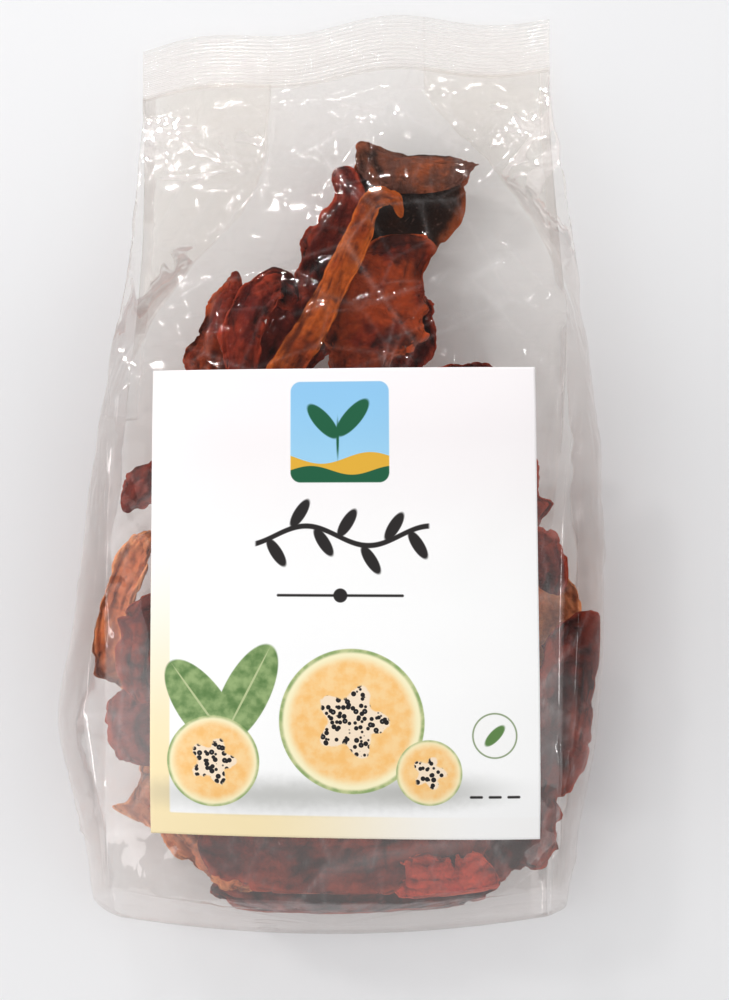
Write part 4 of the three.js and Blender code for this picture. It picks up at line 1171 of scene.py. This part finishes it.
def print_fruit(n, x, y, place, colour):
    """Two leaves and three round slices of fruit over soft shadows. Each slice has a green skin, a pale rim,
    ripe flesh and a star-shaped hollow, whose edge is a cosine of the angle, full of dark seeds."""
    mottle = n.add("TexNoise", Vector=place, Scale=0.35, Detail=4.0).outputs["Fac"]
    wobble = n.add("TexNoise", Vector=place, Scale=0.5, Detail=3.0).outputs["Fac"]
    wobble = n.math("MULTIPLY_ADD", wobble, 1.6, -0.8)
    wx, wy = n.math("ADD", x, wobble), n.math("SUBTRACT", y, wobble)
    for centre, size in SHADOWS:
        shadow = n.math("MULTIPLY", spot(n, wx, wy, centre, size, 0.0, 3.0), 0.5)
        colour = n.mix(shadow, colour, (0.30, 0.30, 0.27, 1))
    leaf = n.mix(n.ramp(mottle, 0.3, 0.7), (0.16, 0.28, 0.10, 1), (0.38, 0.50, 0.24, 1))
    for centre, size, turn in LEAVES:
        colour = n.mix(spot(n, x, y, centre, size, turn), colour, leaf)
        vein = spot(n, x, y, centre, (size[0] * 0.9, 0.25), turn, 0.05)
        colour = n.mix(vein, colour, (0.55, 0.62, 0.36, 1))
    seeds = n.add("TexVoronoi", {"feature": "F1"}, Vector=place, Scale=0.8, Randomness=0.8)
    seed = n.ramp(seeds.outputs["Distance"], 0.52, 0.44)
    glint = n.ramp(seeds.outputs["Distance"], 0.16, 0.08)
    green = n.mix(n.ramp(mottle, 0.35, 0.65), (0.34, 0.46, 0.20, 1), (0.60, 0.64, 0.36, 1))
    ripe = n.mix(n.ramp(mottle, 0.3, 0.7), (0.95, 0.60, 0.24, 1), (0.97, 0.72, 0.40, 1))
    for centre, size in SLICES:
        for share, soft, tone in ((1, 0.15, green), (0.95, 0.4, (0.96, 0.90, 0.64, 1)), (0.85, 1.2, ripe)):
            colour = n.mix(spot(n, x, y, centre, (size * share, size * share), 0.0, soft), colour, tone)
        dx, dy = n.math("SUBTRACT", wx, centre[0]), n.math("SUBTRACT", wy, centre[1])
        away = n.math("SQRT", n.math("MULTIPLY_ADD", dx, dx, n.math("MULTIPLY", dy, dy)))
        star = n.math("COSINE", n.math("MULTIPLY", n.math("ARCTAN2", dy, dx), 5.0))
        star = n.math("MULTIPLY_ADD", star, size * 0.1, size * 0.42)
        hollow = n.ramp(n.math("SUBTRACT", star, away), -0.3, 0.3)
        colour = n.mix(hollow, colour, (0.94, 0.80, 0.64, 1))
        colour = n.mix(n.math("MULTIPLY", hollow, seed), colour, (0.018, 0.016, 0.018, 1))
        shine = n.math("MULTIPLY", n.math("MULTIPLY", hollow, glint), 0.5)
        colour = n.mix(shine, colour, (0.5, 0.5, 0.5, 1))
    return colour


def print_marks(n, x, y, colour):
    """A thin ring with a leaf in it, and three short dashes."""
    colour = n.mix(spot(n, x, y, RING, (5.2, 5.2)), colour, (0.30, 0.38, 0.22, 1))
    colour = n.mix(spot(n, x, y, RING, (4.85, 4.85)), colour, WHITE)
    colour = n.mix(spot(n, x, y, RING, (3.1, 1.2), 0.8), colour, (0.16, 0.30, 0.10, 1))
    for dash_x in DASHES:
        colour = n.mix(panel(n, x, y, (dash_x, 10), (1.5, 0.3), 0.3), colour, INK)
    return colour


def paper_material():
    """Label paper with generic print, which reads the label's own UV in millimetres."""
    material, n, output = new_material("label_paper")
    split = n.add("SeparateXYZ", Vector=n.add("TexCoord").outputs["UV"])
    x = n.math("MULTIPLY", split.outputs[0], LABEL_WIDTH)
    y = n.math("MULTIPLY", split.outputs[1], LABEL_LENGTH)
    place = n.add("CombineXYZ", X=x, Y=y).outputs[0]
    colour = print_ground(n, x, y)
    colour = print_tile(n, x, y, colour)
    colour = print_vine(n, x, y, colour)
    colour = print_fruit(n, x, y, place, colour)
    colour = print_marks(n, x, y, colour)
    grain = n.add("TexNoise", Vector=place, Scale=6.0, Detail=3.0).outputs["Fac"]
    bump = n.add("Bump", Strength=0.04, Distance=0.0002, Height=grain)
    shader = n.add("BsdfPrincipled", Base_Color=colour, Roughness=0.42, Normal=bump.outputs[0])
    n.join(output, "Surface", shader.outputs[0])
    return material


def plain_material(name, colour, roughness):
    """A plain matt surface for the floor."""
    material, n, output = new_material(name)
    shader = n.add("BsdfPrincipled", Base_Color=(*colour, 1), Roughness=roughness)
    n.join(output, "Surface", shader.outputs[0])
    return material


# Putting the pieces together

# Each tone of flesh: the skin, the bright rims, the darkest pits, which also serve as painted shade, and how
# dusty it is
TONES = {
    "mauve": ((0.18, 0.078, 0.055), (0.56, 0.14, 0.035), (0.010, 0.006, 0.004), 0.35),
    "maroon": ((0.17, 0.017, 0.012), (0.46, 0.07, 0.028), (0.016, 0.003, 0.003), 0.08),
    "red": ((0.22, 0.02, 0.007), (0.52, 0.10, 0.022), (0.03, 0.004, 0.003), 0.06),
    "amber": ((0.38, 0.066, 0.009), (0.64, 0.17, 0.026), (0.09, 0.013, 0.004), 0.08),
    "tan": ((0.74, 0.23, 0.09), (0.90, 0.40, 0.18), (0.19, 0.045, 0.02), 0.15),
    "scarlet": ((0.64, 0.05, 0.03), (0.80, 0.11, 0.045), (0.09, 0.008, 0.006), 0.04),
}
film = film_material("clear_film", 0.3, 0.02, 0.5)
seal_film = film_material("seal_film", 0.11, 0.02, 0.5)
dried = flesh_group()
FLESH = {tone: flesh(f"flesh_{tone}", dried, *parts) for tone, parts in TONES.items()}

SHOWN = 22  # the strips that show in the front view come first in the list, and have a finer grid
FINE_GRID = (150, 64)
PLAIN_GRID = (90, 40)
for order, (name, spec) in enumerate(FRUIT.items()):
    piece = fruit_piece(name, spec, order, *(FINE_GRID if order < SHOWN else PLAIN_GRID))
    piece.data.materials.append(FLESH[spec.get("looks", spec["tone"])])
    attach(piece, "root")
    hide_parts(name)

bag = film_bag()
seal = heat_seal()
for piece, material in ((bag, film), (seal, seal_film)):
    piece.data.materials.append(material)
    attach(piece, "root")
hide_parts("film_bag")
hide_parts("film_bag")

label = front_label()
label.data.materials.append(paper_material())
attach(label, "root")
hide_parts("front_label")


# Floor, light and camera


FLOOR_REACH = 900
FLOOR_TONE = (0.86, 0.86, 0.87)


def floor():
    """A plain pale floor."""
    corners = np.array([(-1, -1, 0), (1, -1, 0), (1, 1, 0), (-1, 1, 0)], float) * FLOOR_REACH
    obj = mesh_object("floor", corners, np.array([[0, 1, 2, 3]]), smooth=False)
    obj.data.materials.append(plain_material("pale_floor", FLOOR_TONE, 0.7))


def area_light(name, place, target, size, power):
    """A rectangular lamp at a place, turned to a target, all in millimetres."""
    data = bpy.data.lights.new(name, "AREA")
    data.shape = "RECTANGLE"
    data.size, data.size_y = size[0] * MM, size[1] * MM
    data.energy = power
    obj = bpy.data.objects.new(name, data)
    bpy.context.scene.collection.objects.link(obj)
    obj.location = [c * MM for c in place]
    away = np.array(target, float) - np.array(place, float)
    yaw, pitch = math.atan2(away[1], away[0]), math.atan2(-away[2], math.hypot(away[0], away[1]))
    obj.rotation_euler = (math.pi / 2 - pitch, 0, yaw - math.pi / 2)


CAMERA_PLACE = (8.0, -5.5, 520)
CAMERA_AWAY = 500  # from the camera to the strips
PIXELS_PER_MM = 4.2  # in the photo, at that distance
FRAME_WIDTH = 729
SENSOR = 36


def camera():
    """The camera looks straight down on the bag, as in the photo."""
    data = bpy.data.cameras.new("camera")
    data.sensor_fit = "HORIZONTAL"
    data.sensor_width = SENSOR
    data.lens = SENSOR * PIXELS_PER_MM * CAMERA_AWAY / FRAME_WIDTH
    data.clip_end = 20
    obj = bpy.data.objects.new("camera", data)
    bpy.context.scene.collection.objects.link(obj)
    obj.location = [c * MM for c in CAMERA_PLACE]
    bpy.context.scene.camera = obj


WORLD_LIGHT = 0.53


def world():
    """Even pale light from all round."""
    data = bpy.data.worlds.new("studio")
    data.use_nodes = True
    background = data.node_tree.nodes["Background"]
    background.inputs[0].default_value = (1, 1, 1, 1)
    background.inputs[1].default_value = WORLD_LIGHT
    bpy.context.scene.world = data


# Small lamps whose reflections glint in the film: low beyond its upper end (x, z), and overhead (x, y)
LOW_LAMPS = ((-480, 130), (-320, 180), (-40, 250), (-90, 380), (340, 140))
CEILING_LAMPS = ((-200, 420), (220, 300))

floor()
world()
area_light("key", (-350, 1100, 430), (0, 0, 0), (260, 30), 1.6)
area_light("modelling_light", (-520, 520, 680), (0, 0, 0), (50, 80), 0.8)
area_light("softbox_left", (-950, -400, 900), (0, 0, 0), (1300, 1500), 6.6)
area_light("softbox_right", (950, -250, 900), (0, 0, 0), (1300, 1500), 3.7)
area_light("strip_left", (-900, -60, 420), (0, -40, 0), (700, 60), 0.8)
area_light("strip_right", (900, 60, 420), (0, 40, 0), (500, 40), 0.4)
for number, (x, z) in enumerate(LOW_LAMPS):
    area_light(f"low_lamp_{number}", (x, 900, z), (0, 60, 0), (60, 14), 0.5)
for number, (x, y) in enumerate(CEILING_LAMPS):
    area_light(f"ceiling_lamp_{number}", (x, y, 660), (x, y, 0), (40, 10), 0.16)
camera()
bpy.context.scene.view_settings.view_transform = "Standard"
bpy.context.scene.view_settings.gamma = 0.8
bpy.context.scene.cycles.transparent_max_bounces = 24
